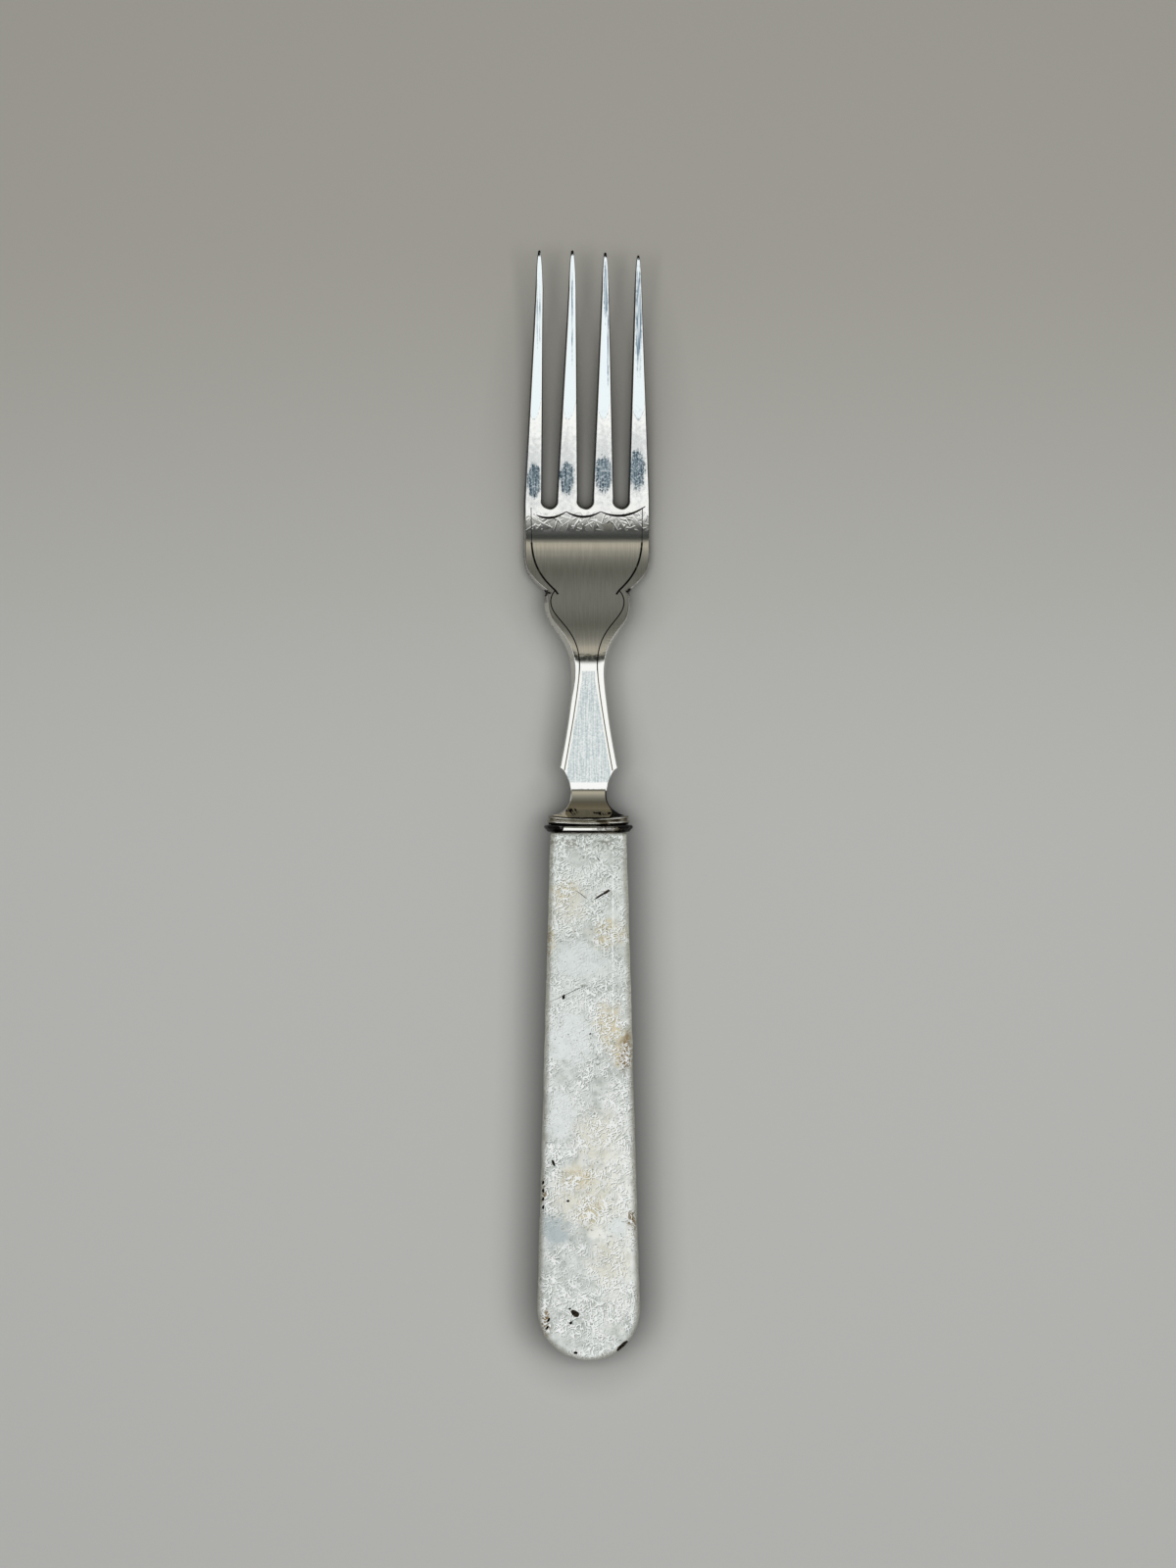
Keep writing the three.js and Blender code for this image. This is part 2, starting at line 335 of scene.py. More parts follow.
def tine_outline(number):
    """One tine from its right root over the tip to its left root."""
    right_root = ROOTS_HALF if number == TINE_COUNT - 1 else slot_x(number) - SLOT_RADIUS
    left_root = -ROOTS_HALF if number == 0 else slot_x(number - 1) + SLOT_RADIUS
    right = half_tine(Vector((right_root, ROOT_LINE)), number, 1)
    left = half_tine(Vector((left_root, ROOT_LINE)), number, -1)
    tip = Vector((tip_x(number), tips - TIP_WEAR[number]))
    return right + [tip] + left[::-1]


def head_outline():
    points = list(side)
    for number in reversed(range(TINE_COUNT)):
        points += tine_outline(number)
        if number > 0:
            points += arc(Vector((slot_x(number - 1), ROOT_LINE)), SLOT_RADIUS, 0, -180, CURVE_STEPS)[1:]
    return points + mirrored(side)


outline = head_outline()
print("the outline has", len(outline), "points")

# %% [markdown]
# ## A slab with a shaped rim
# Both the head and the stone start as a flat slab with a filed or ground rim. A Bevel modifier
# would give one width all round, but a hand-made rim varies from place to place. So the front face
# is filled first, and its loop of edges is extruded step by step round to the back, each step
# drawn in and let down by what the place asks for.

# %% Build a slab from an outline
def outward_normals(points):
    """The direction that leads out of a loop of points, for each of them."""
    normals = []
    count = len(points)
    for number in range(count):
        along = points[(number + 1) % count] - points[number - 1]
        normals.append(Vector((along.y, -along.x)).normalized())
    return normals


def start_ring(bm, count, place):
    """A closed loop of new vertices, each numbered so that later rings can follow it."""
    order = bm.verts.layers.int.new("order")
    ring = []
    for number in range(count):
        vert = bm.verts.new(place(number))
        vert[order] = number
        ring.append(vert)
    return [bm.edges.new((ring[number - 1], ring[number])) for number in range(count)]


def next_ring(bm, edges, place):
    """Extrudes a loop of edges and moves each new vertex to its place."""
    made = bmesh.ops.extrude_edge_only(bm, edges=edges)["geom"]
    verts = {item for item in made if isinstance(item, bmesh.types.BMVert)}
    order = bm.verts.layers.int["order"]
    for vert in verts:
        vert.co = place(vert[order])
    made_edges = [item for item in made if isinstance(item, bmesh.types.BMEdge)]
    return [edge for edge in made_edges if verts.issuperset(edge.verts)]


def shaped_slab(points, rim):
    """rim(point, normal) lists the rim's steps as (inset, depth), from the front face to the back."""
    normals = outward_normals(points)
    rims = [rim(point, normal) for point, normal in zip(points, normals)]
    bm = bmesh.new()

    def place_at(step):
        def place(number):
            inset, depth = rims[number][step]
            flat = points[number] - normals[number] * inset
            return (flat.x, flat.y, -depth)
        return place

    edges = start_ring(bm, len(points), place_at(0))
    bmesh.ops.edgeloop_fill(bm, edges=edges)
    for step in range(1, len(rims[0])):
        edges = next_ring(bm, edges, place_at(step))
    bmesh.ops.edgeloop_fill(bm, edges=edges)
    face_outwards(bm)
    return bm


print("normals of the outline:", len(outward_normals(outline)))

# %% [markdown]
# ## The flat blank of the head
# The edges were filed at a slant, so the front face is narrower than the back and the side walls
# show from above: broadly round the throat and the lobe, barely on the right, and as a dark line
# along the left of each tine. A small roll softens the edge of the front face.

# %% Shape the rim of the head
BLANK_THICKNESS = 2.2
BACK_ROLL = 0.25
TINE_SLANT = 0.24
SHANK_SLANT = 0.18
BOWL_SLANT = 0.32
FILED_SLANT = 0.7
TIP_SLANT = 0.12
RIGHT_SHARE = 0.42
TINE_ROLL = 0.22
SHANK_ROLL = 0.22
BOWL_ROLL = 0.2
TIP_ROLL = 0.1
BOWL_START = THROAT - 6
FILED_START = THROAT - 4
FILED_FULL = THROAT + 2
FILED_END = NOTCH + 1
TINE_START = SLOT_BOTTOM - 3
TIP_START = tips - 9
TIP_FULL = tips - POINT_LENGTH / 4
SIDE_TURN = 0.3
ROLL = [(1, 0), (0.62, 0.08), (0.3, 0.3), (0.08, 0.62), (0, 1)]


def blend(start, end, share):
    return start + (end - start) * share


def head_rim(point, normal):
    """The filed rim at one point; the right-hand edges are steeper than the left-hand ones."""
    on_bowl = ease(point.y, BOWL_START, THROAT)
    filed = ease(point.y, FILED_START, FILED_FULL) * (1 - ease(point.y, LOBE, FILED_END))
    on_tine = ease(point.y, TINE_START, ROOT_LINE)
    on_tip = ease(point.y, TIP_START, TIP_FULL)
    slant = blend(blend(SHANK_SLANT, BOWL_SLANT, on_bowl), FILED_SLANT, filed)
    slant = blend(blend(slant, TINE_SLANT, on_tine), TIP_SLANT, on_tip)
    slant *= blend(1, RIGHT_SHARE, ease(normal.x, -SIDE_TURN, SIDE_TURN))
    roll = blend(blend(SHANK_ROLL, BOWL_ROLL, on_bowl), TINE_ROLL, on_tine)
    roll = blend(roll, TIP_ROLL, on_tip)
    front = [(slant + roll * inset, roll * depth) for inset, depth in ROLL]
    back_roll = blend(BACK_ROLL, TIP_ROLL, on_tip)
    back = [(back_roll * inset, BLANK_THICKNESS - back_roll * depth)
            for inset, depth in reversed(ROLL)]
    return front + back


blank = shaped_slab(outline, head_rim)
print("the blank has", len(blank.faces), "faces")

# %% [markdown]
# ## The engraved lines
# A graver cut a border along the bowl and down both sides of the shank, and three scallops under
# the slots. Lines in a texture would look painted on from the side, so they are cut for real:
# a curve with a square section stands on its edge, and a boolean takes it out of the blank as a
# V-shaped groove. The cutter's material comes along and stays in the groove as dark patina.

# %% Draw the engraved lines
BOWL_LINE = 0.2
WORN_LINE = 0.1
SHANK_LINE = 0.13
SCALLOP_LINE = 0.25
GRAVER_LIFT = 0.03
SCALLOP_SAG = 0.9
CUSP_LINE = SLOT_BOTTOM - 0.7
CUSPS = [Vector((-8.7, CUSP_LINE - 0.6)), Vector((-3.55, CUSP_LINE)), Vector((2.4, CUSP_LINE)),
         Vector((10.1, CUSP_LINE + 0.9))]
BORDER_TOP = Vector((9.6, SLOT_BOTTOM))
BORDER_TURN = Vector((9.52, SHOULDER + 1.4))
BORDER_NOTCH = Vector((5.5, NOTCH + 0.3))
BORDER_HOOK = Vector((5.0, NOTCH - 0.4))
BORDER_LOBE = Vector((6.3, LOBE + 0.4))
BORDER_THROAT = Vector((1.52, THROAT + 2.0))
BORDER_CORNER = Vector((4.13, CORNER - 0.5))


def bowl_border():
    """The right-hand border from below the worn zone to its hook at the notch."""
    first_pull = Vector((9.3, SHOULDER - 2.6))
    second_pull = Vector((7.9, NOTCH + 2.6))
    points = sweep(BORDER_TURN, first_pull, second_pull, BORDER_NOTCH)
    return points + line(BORDER_NOTCH, BORDER_HOOK, 2) + [BORDER_HOOK]


def shank_border():
    """The right-hand border from the lobe down to the clipped corner."""
    lobe_pull = Vector((6.4, LOBE - 3.0))
    throat_pull = Vector((1.62, THROAT + 8.6))
    points = bend(BORDER_NOTCH, Vector((6.2, LOBE + 1.4)), BORDER_LOBE, 6)
    points += sweep(BORDER_LOBE, lobe_pull, throat_pull, BORDER_THROAT, 2 * CURVE_STEPS)
    return points + bend(BORDER_THROAT, Vector((1.45, THROAT - 1.5)), BORDER_CORNER) + [BORDER_CORNER]


def scallop(left, right):
    """A shallow arc that hangs between two cusps, under one slot."""
    lowest = Vector(((left.x + right.x) / 2, CUSP_LINE - 2 * SCALLOP_SAG))
    return bend(left, lowest, right) + [right]


engraved = []
worn_border = line(BORDER_TOP, BORDER_TURN, 4) + [BORDER_TURN]
borders = ((worn_border, WORN_LINE), (bowl_border(), BOWL_LINE), (shank_border(), SHANK_LINE))
for border, depth in borders:
    engraved.append((border, depth, False))
    engraved.append((mirrored(border), depth, False))
for left, right in zip(CUSPS, CUSPS[1:]):
    engraved.append((scallop(left, right), SCALLOP_LINE, True))
print(len(engraved), "engraved lines")

# %% Cut the lines into the blank
WELD = 0.0005
THINNING = 0.6
silver = bpy.data.materials.new("forged_silver")
patina = bpy.data.materials.new("engraved_patina")


def graver_mesh(points, depth, thins_out):
    """A square rod along a line, a hair above the face; one that thins out does so at both ends."""
    curve = bpy.data.curves.new("graver", "CURVE")
    curve.dimensions = "3D"
    curve.bevel_depth = 1.0
    curve.bevel_resolution = 0
    curve.use_fill_caps = True
    spline = curve.splines.new("POLY")
    spline.points.add(len(points) - 1)
    for number, point in enumerate(points):
        from_middle = 2 * number / (len(points) - 1) - 1
        share = 1 - THINNING * from_middle ** 2 if thins_out else 1
        spline.points[number].co = (point.x, point.y, GRAVER_LIFT, 1)
        spline.points[number].radius = depth * share
    rod = add_object("graver", curve)
    bm = bmesh.new()
    bm.from_mesh(evaluated_mesh(rod))
    bpy.data.objects.remove(rod)
    bmesh.ops.remove_doubles(bm, verts=bm.verts, dist=WELD)
    mesh = mesh_from(bm, "graver")
    mesh.materials.append(patina)
    return mesh


engraved_mesh = mesh_from(blank, "blank")
engraved_mesh.materials.append(silver)
for points, depth, thins_out in engraved:
    engraved_mesh = combine(engraved_mesh, graver_mesh(points, depth, thins_out), "DIFFERENCE")
print("engraved blank:", len(engraved_mesh.polygons), "faces")

# %% [markdown]
# ## Bending the blank
# From the side the shank rises in a low arch, drops into the bowl and sweeps up to the tips. The
# blank is sliced into short strips, and each strip is moved between two curves, one for the front
# face and one for the back. The tines are bent a hair differently, and beyond the throat the head
# lies a little to the left, as on any used fork.

# %% The front and back curves
PANEL_FRONT = axis_height + 1.9
PANEL_BACK = axis_height - 1.5
CREST_FRONT = axis_height + 3.9
CREST_BACK = axis_height + 0.9
HEEL_THICKNESS = 2.2
TIP_FRONT = 9.6
TIP_BACK = 8.7
CREST_PULL = 0.1
SLOPE_PULL = 0.45
TINE_PULL = 0.3
SIDE_STEPS = 80


def side_curve(panel_height, crest_height, heel_height, tip_height):
    """Heights along the fork, from inside the neck to the tips."""
    panel = Vector((PANEL, panel_height))
    crest = Vector((CREST, crest_height))
    heel = Vector((HEEL, heel_height))
    tip = Vector((tips, tip_height))
    slope = Vector((SLOPE_PULL * (HEEL - CREST), 0))
    points = [Vector((foot, panel_height))]
    points += bend(panel, crest - Vector((CREST_PULL * (CREST - PANEL), 0)), crest, SIDE_STEPS)
    points += sweep(crest, crest + slope, heel - slope, heel, SIDE_STEPS)
    points += bend(heel, heel + Vector((TINE_PULL * (tips - HEEL), 0)), tip, SIDE_STEPS)
    return points + [tip]


front_curve = side_curve(PANEL_FRONT, CREST_FRONT, HEEL_THICKNESS, TIP_FRONT)
back_curve = side_curve(PANEL_BACK, CREST_BACK, 0, TIP_BACK)
print(f"the crest is {height_on(front_curve, CREST) - height_on(back_curve, CREST):.1f} mm thick")

# %% Slice and bend
STRIP = 0.45
TINE_STRIP = 0.9
TINE_LIFT = (0.0, 0.08, -0.08, 0.12)
HEAD_SHIFT = 0.3


def whole(bm):
    return bm.verts[:] + bm.edges[:] + bm.faces[:]


def slice_along(bm, start, end, step):
    """Cuts the mesh across at even stations."""
    for number in range(1, int((end - start) / step)):
        station = (0, start + number * step, 0)
        bmesh.ops.bisect_plane(bm, geom=whole(bm), plane_co=station, plane_no=(0, 1, 0))


def bend_blank(bm):
    for vert in bm.verts:
        front = height_on(front_curve, vert.co.y)
        back = height_on(back_curve, vert.co.y)
        share = 1 + vert.co.z / BLANK_THICKNESS
        tine = min(max(int(vert.co.x / TIP_PITCH + TINE_COUNT / 2), 0), TINE_COUNT - 1)
        lift = TINE_LIFT[tine] * ease(vert.co.y, SLOT_BOTTOM, tips)
        vert.co.z = back + share * (front - back) + lift
        vert.co.x -= HEAD_SHIFT * ease(vert.co.y, THROAT, SHOULDER)


head = bmesh.new()
head.from_mesh(engraved_mesh)
slice_along(head, PANEL, SLOT_BOTTOM, STRIP)
slice_along(head, SLOT_BOTTOM, tips, TINE_STRIP)
bend_blank(head)
print("bent head:", len(head.faces), "faces")

# %% [markdown]
# ## The panel's lower end
# The panel stops in a bevel, front and back, where a file took the metal down to the neck. A plane
# cuts each bevel, and the open cut is filled again.

# %% File the two bevels
BEVEL_DROP = 0.5


def file_bevel(bm, height, way):
    """Cuts off what lies beyond a slanted plane; way is 1 for the front and -1 for the back."""
    slanted = (0, -BEVEL_DROP, way * (PANEL - CREASE))
    cut = bmesh.ops.bisect_plane(bm, geom=whole(bm), plane_co=(0, PANEL, height), plane_no=slanted,
                                 clear_outer=True)
    edges = [item for item in cut["geom_cut"] if isinstance(item, bmesh.types.BMEdge)]
    bmesh.ops.edgeloop_fill(bm, edges=edges)


file_bevel(head, PANEL_FRONT, 1)
file_bevel(head, PANEL_BACK, -1)
face_outwards(head)
open_edges = [edge for edge in head.edges if not edge.is_manifold]
print("head with filed bevels:", len(head.faces), "faces,", len(open_edges), "open edges")

# %% [markdown]
# ## The neck and its foot
# Below the panel the metal turns into a coved neck that flares to a foot as wide as the collar.
# Its section changes from a slim rectangle to a broad eight-sided one, so a ring of eight corners
# is extruded down the neck and placed anew at each station.

# %% Loft the neck
NECK_STEPS = 18
WAIST_RISE = 1.4
FOOT_RISE = 4.2
FOOT_FACE_HALF = 3.5
FOOT_SIDE_RISE = 1.2
NECK_EDGE = 0.22
FLARE_PULL = 0.72
FOOT_BOW = 0.44
BOW_REACH = 0.6
COVE_START = PANEL - 0.8
NECK_TOP = PANEL + 0.6
FLARED = Vector((1, 1))
flare_curve = bend(Vector((0, 0)), Vector((FLARE_PULL, 0)), FLARED, SIDE_STEPS) + [FLARED]


def flare(y, start):
    """0 above the start, 1 at the foot, along a coved curve."""
    return height_on(flare_curve, min(max((start - y) / (start - foot), 0), 1))


def neck_section(y):
    """Eight corners of the neck's section, in order round it."""
    spread = flare(y, WAIST)
    half = blend(WAIST_HALF, FOOT_HALF, spread)
    rise = blend(WAIST_RISE, FOOT_RISE, flare(y, COVE_START))
    face = blend(half - NECK_EDGE, FOOT_FACE_HALF, spread)
    edge = blend(rise - NECK_EDGE, FOOT_SIDE_RISE, spread)
    bow = FOOT_BOW * ease(y, foot + BOW_REACH, foot)
    corners = []
    for way in (1, -1):
        for x, z in ((half, edge), (face, rise), (-face, rise), (-half, edge)):
            sag = bow * (1 - (x / FOOT_HALF) ** 2)
            corners.append((way * x, y - sag, axis_height + way * z))
    return corners


def neck():
    bm = bmesh.new()
    section = neck_section(NECK_TOP)
    edges = start_ring(bm, len(section), section.__getitem__)
    bmesh.ops.edgeloop_fill(bm, edges=edges)
    for step in range(1, NECK_STEPS + 1):
        section = neck_section(blend(NECK_TOP, foot, step / NECK_STEPS))
        edges = next_ring(bm, edges, section.__getitem__)
    bmesh.ops.edgeloop_fill(bm, edges=edges)
    face_outwards(bm)
    return bm


neck_mesh = mesh_from(neck(), "neck")
neck_mesh.materials.append(silver)
print("neck:", len(neck_mesh.polygons), "faces")

# %% Join the neck and cut the tang's socket
FIT = 0.1


def tang_room():
    """A box that leaves room for the tang, for every piece that it passes through."""
    bm = bmesh.new()
    bmesh.ops.create_cube(bm, size=1)
    room = tang_high - tang_low + Vector((2 * FIT, 2 * FIT, 2 * FIT))
    bmesh.ops.scale(bm, vec=room, verts=bm.verts)
    bmesh.ops.translate(bm, vec=(tang_low + tang_high) / 2, verts=bm.verts)
    return mesh_from(bm, "tang_room")


head_mesh = mesh_from(head, "head")
for material in (silver, patina):
    head_mesh.materials.append(material)
head_mesh = combine(head_mesh, neck_mesh, "UNION")
head_mesh = combine(head_mesh, tang_room(), "DIFFERENCE")
finish_piece("forged_head", head_mesh, "fork_head")

# %% [markdown]
# ## The ring and the collar
# The bolster is two soldered bands: a full half-round ring against the stone and a narrower
# collar under the foot. A lathe gives round bands, but these are fuller than an ellipse, so one
# oval of points is extruded along each band's profile and set out to its width at every step. The
# bands sag a little in the middle and carry small dents.

# %% Loft an oval band
OVAL_POINTS = 120
OVAL_FULLNESS = 2.5
RING_BOW = 0.12
DENT = 0.09
DENT_SIZE = 1.1
BAND_SKEW = 0.45
PROFILE_STEPS = 8


def oval(number, half_width, half_height):
    """A point on a superellipse, a little fuller than an ellipse."""
    angle = 2 * math.pi * number / OVAL_POINTS
    across, up = math.cos(angle), math.sin(angle)
    power = 2 / OVAL_FULLNESS
    return (math.copysign(abs(across) ** power, across) * half_width,
            math.copysign(abs(up) ** power, up) * half_height)


def band_place(half_width, half_height, station, dent):
    """Where the points of one oval go, with the sag and the dents of hand work."""
    bow = blend(RING_BOW, FOOT_BOW, (station - ring_low.y) / (collar_high.y - ring_low.y))

    def place(number):
        x, z = oval(number, half_width, half_height)
        sag = bow * (1 - (x / half_width) ** 2)
        push = 1 + dent * noise.noise(Vector((x, station, z)) / DENT_SIZE) / half_height
        return (x * push, station - sag, axis_height + z * push)
    return place


def profile_rings(bm, halves, profile, dent):
    """Extrudes an oval along a profile of (overhang, station); returns its first and last loop."""
    places = [band_place(halves[0] + overhang, halves[1] + overhang, station, dent)
              for overhang, station in profile]
    first = start_ring(bm, OVAL_POINTS, places[0])
    last = first
    for place in places[1:]:
        last = next_ring(bm, last, place)
    return first, last


def half_round(base, top, bulge, inset, steps=PROFILE_STEPS):
    """A half-round profile between two stations, set in from the band's width. A skew below 1 brings
    its ridge near the top."""
    points = []
    for step in range(steps + 1):
        angle = math.pi * (step / steps - 0.5)
        share = ((1 + math.sin(angle)) / 2) ** BAND_SKEW
        points.append((bulge * math.cos(angle) - inset, blend(base, top, share)))
    return points


def halves_of(low, high):
    return (high.x - low.x) / 2, (high.z - low.z) / 2


print("the ring's half width and height:", halves_of(ring_low, ring_high))

# %% Make the ring
RING_BULGE = 0.62
SEAM = 0.02
# The ring's material: black tarnish, with painted shade at its ends, foot and top.
ring_tarnish_and_shade = bpy.data.materials.new("ring_tarnish_and_painted_shade")


def ring():
    """An open ring: its profile runs round the outside and back through the seat of the plate."""
    bm = bmesh.new()
    half_width, half_height = halves_of(ring_low, ring_high)
    base = ring_low.y + SEAM
    top = ring_high.y - SEAM
    opening = halves_of(plate_low, plate_high)[0] + FIT - half_width
    profile = half_round(base, top, RING_BULGE, inset=RING_BULGE)
    profile += [(opening, top), (opening, base)]
    first, last = profile_rings(bm, (half_width, half_height), profile, DENT)
    bmesh.ops.bridge_loops(bm, edges=first + last)
    face_outwards(bm)
    return mesh_from(bm, "ring")


ring_mesh = ring()
ring_mesh.materials.append(ring_tarnish_and_shade)
finish_piece("half_round_ring", ring_mesh, "bead_ring")

# %% Make the collar
BASE_INSET = 0.5
BELLY = 0.3
BELLY_GAP = 0.08
LIP = 0.34
LIP_INSET = 0.45
LIP_GAP = 0.03
LIP_GROOVE = 0.14
LIP_STEPS = 6
COLLAR_SPREAD = 0.4
COLLAR_DENT = 0.05
collar_silver = bpy.data.materials.new("collar_silver")


def collar():
    """A band with a shallow belly, a fine groove and a small rounded lip under the foot."""
    bm = bmesh.new()
    base = collar_low.y + SEAM
    top = collar_high.y - SEAM
    lip_base = top - 2 * LIP
    profile = [(-BASE_INSET, base)]
    profile += half_round(base + BELLY_GAP, lip_base - BELLY_GAP, BELLY, inset=BELLY)
    profile += [(-LIP_GROOVE - BELLY, lip_base)]
    profile += half_round(lip_base + LIP_GAP, top, LIP, LIP_INSET, LIP_STEPS)
    half_width, half_height = halves_of(collar_low, collar_high)
    halves = (half_width + COLLAR_SPREAD, half_height)
    first, last = profile_rings(bm, halves, profile, COLLAR_DENT)
    for loop in (first, last):
        bmesh.ops.edgeloop_fill(bm, edges=loop)
    face_outwards(bm)
    return mesh_from(bm, "collar")


collar_mesh = collar()
collar_mesh.materials.append(collar_silver)
collar_mesh = combine(collar_mesh, tang_room(), "DIFFERENCE")
finish_piece("collar_band", collar_mesh, "bolster_collar")

# %% [markdown]
# ## The stone handle
# The handle was ground by hand from a bar of pale crystalline stone: flat faces, a straight taper,
# a round butt, and bevels that are broad on the right near the bolster and fade toward the butt.
# The same shaped slab makes it, with an outline that wavers. A seed keeps the waver the same every
# time.

# %% Draw and shape the stone
STONE_STEPS = 90
BUTT_STEPS = 60
STONE_WAVER = 0.1
WAVER_SIZE = 3.0
WAVER_SEED = 7
END_BREAK = 0.15
RIDGE = 4.17
RIDGE_END = -36.0
RIDGE_FADE = 16.0
LEFT_BEVEL = 0.7
BUTT_ROUND = 1.5
BEVEL_DEPTH = 0.75
BUTT_DEPTH = 1.9
BACK_BEVEL = 1.3
RAGGED_RIDGE = 0.12
RAGGED_LAYER = 3
END_STRAIGHT = 1.0
END_EDGE = 0.01
stone_half = (stone_high.x - stone_low.x) / 2
stone_end_half = 6.5
stone_end_thickness = 9.2
stone_butt_thickness = stone_high.z - stone_low.z
GROUND = [(1, 0), (0.95, 0.02), (0.87, 0.09), (0.12, 0.8), (0.04, 0.9), (0, 1)]
ROUNDED = [(1, 0), (0.74, 0.05), (0.5, 0.16), (0.26, 0.36), (0.08, 0.64), (0, 1)]


def stone_outline():
    centre = Vector((0, butt + stone_half))
    end_right = Vector((stone_end_half, stone_end))
    end_left = Vector((-stone_end_half, stone_end))
    points = line(Vector((stone_half, centre.y)), end_right, STONE_STEPS)
    points += line(end_right, end_left, CURVE_STEPS)
    points += line(end_left, Vector((-stone_half, centre.y)), STONE_STEPS)
    points += arc(centre, stone_half, 180, 360, BUTT_STEPS)
    for point in points:
        if point.y < stone_end - END_STRAIGHT:
            waver = noise.noise_vector(Vector((point.x, point.y, 0)) / WAVER_SIZE)
            point += STONE_WAVER * Vector((waver.x, waver.y))
    return points


def stone_rim(point, normal):
    """The ground rim at one point: broad on the right by the bolster, rounded towards the butt."""
    at_end = point.y > stone_end - END_EDGE
    near_butt = ease(point.y, RIDGE_END, RIDGE_END - RIDGE_FADE)
    first_width = blend(LEFT_BEVEL, point.x - RIDGE, ease(normal.x, -SIDE_TURN, SIDE_TURN))
    width = blend(first_width, BUTT_ROUND, near_butt)
    width += RAGGED_RIDGE * noise.noise(Vector((point.x, point.y, RAGGED_LAYER)))
    depth = blend(BEVEL_DEPTH, BUTT_DEPTH, near_butt)
    back_width, back_depth = BACK_BEVEL, BUTT_DEPTH
    if at_end:
        width = depth = back_width = back_depth = END_BREAK
    steps = []
    for (flat_in, flat_down), (round_in, round_down) in zip(GROUND, ROUNDED):
        inset = blend(flat_in, round_in, near_butt)
        drop = blend(flat_down, round_down, near_butt)
        steps.append((width * inset, depth * drop))
    for round_in, round_down in reversed(ROUNDED):
        steps.append((back_width * round_in, stone_butt_thickness - back_depth * round_down))
    return steps


noise.seed_set(WAVER_SEED)
stone_bm = shaped_slab(stone_outline(), stone_rim)
print("stone slab:", len(stone_bm.faces), "faces")

# %% [markdown]
# ## Pits, a vein and a chip
# The stone has a dark slanting vein, a few open pits and a chipped rim at the butt. Each is a
# small lump, stretched and turned, that a boolean takes out of the slab; the hollow keeps the
# dark material of the lump.

# %% Cut the pits
FACE_DEPTH = 0.6
CRACK_DEPTH = 0.12
RIM_DEPTH = 2.6
PIT_LUMP = 0.4
PIT_LIFT = 0.01
LUMP_SIZE = 0.6
# Each pit: its place across and along, half its length and width, its turn in degrees, its depth.
PITS = [
    (2.0, -15.5, 1.35, 0.17, 33, FACE_DEPTH),
    (3.1, -14.85, 0.7, 0.24, 33, FACE_DEPTH),
    (-1.2, -15.3, 1.4, 0.05, -37, CRACK_DEPTH),
    (-3.5, -32.2, 3.4, 0.05, 25, CRACK_DEPTH),
    (1.7, -9.3, 0.4, 0.09, -50, FACE_DEPTH),
    (-4.25, -32.8, 0.45, 0.26, 75, FACE_DEPTH),
    (0.3, -39.1, 0.2, 0.14, 20, FACE_DEPTH),
    (-6.0, -61.1, 0.65, 0.22, 110, FACE_DEPTH),
    (-3.5, -67.6, 0.26, 0.2, 0, FACE_DEPTH),
    (-2.3, -86.8, 0.8, 0.5, -40, FACE_DEPTH),
    (-3.2, -86.0, 0.24, 0.16, 10, FACE_DEPTH),
    (-3.0, -88.4, 0.32, 0.24, 60, FACE_DEPTH),
    (-6.8, -87.9, 0.45, 0.2, 60, RIM_DEPTH),
    (-7.05, -89.2, 0.4, 0.2, 50, RIM_DEPTH),
    (-2.2, -93.5, 0.35, 0.25, 0, RIM_DEPTH),
    (5.8, -92.4, 1.55, 0.5, 43, RIM_DEPTH),
]
EDGE_PIT_X = -7.75
EDGE_PIT_START = stone_end - 59.7
EDGE_PIT_STEP = 1.4
EDGE_PIT_COUNT = 4
for number in range(EDGE_PIT_COUNT):
    PITS.append((EDGE_PIT_X, EDGE_PIT_START - EDGE_PIT_STEP * number, 0.36, 0.22, 80, RIM_DEPTH))


def pit_mesh(x, y, half_length, half_width, turn, depth):
    """One lump, as large as its pit, with its middle a hair above the face."""
    bm = bmesh.new()
    bmesh.ops.create_icosphere(bm, subdivisions=3, radius=1)
    for vert in bm.verts:
        vert.co *= 1 + PIT_LUMP * noise.noise(vert.co / LUMP_SIZE + Vector((x, y, 0)))
    bmesh.ops.scale(bm, vec=(half_length, half_width, depth), verts=bm.verts)
    bmesh.ops.rotate(bm, matrix=Matrix.Rotation(math.radians(turn), 3, "Z"), verts=bm.verts)
    bmesh.ops.translate(bm, vec=(x, y, PIT_LIFT), verts=bm.verts)
    mesh = mesh_from(bm, "pit")
    mesh.materials.append(pit_dirt)
    return mesh


stone = bpy.data.materials.new("pale_stone")
pit_dirt = bpy.data.materials.new("pit_dirt")
stone_mesh = mesh_from(stone_bm, "stone")
stone_mesh.materials.append(stone)
for pit in PITS:
    stone_mesh = combine(stone_mesh, pit_mesh(*pit), "DIFFERENCE")
print("pitted stone:", len(stone_mesh.polygons), "faces")

# %% Taper the stone and drill the bore
BORE_RADIUS = 2.82
BORE_ROOM = 2.0
BORE_OVERSHOOT = 1.0
BORE_SIDES = 48


def taper_stone(mesh):
    """Moves the slab's faces to the handle's thickness, which grows towards the butt."""
    for vert in mesh.vertices:
        share = (stone_end - vert.co.y) / (stone_end - butt)
        thickness = blend(stone_end_thickness, stone_butt_thickness, share)
        from_middle = vert.co.z + stone_butt_thickness / 2
        vert.co.z = axis_height + from_middle * thickness / stone_butt_thickness


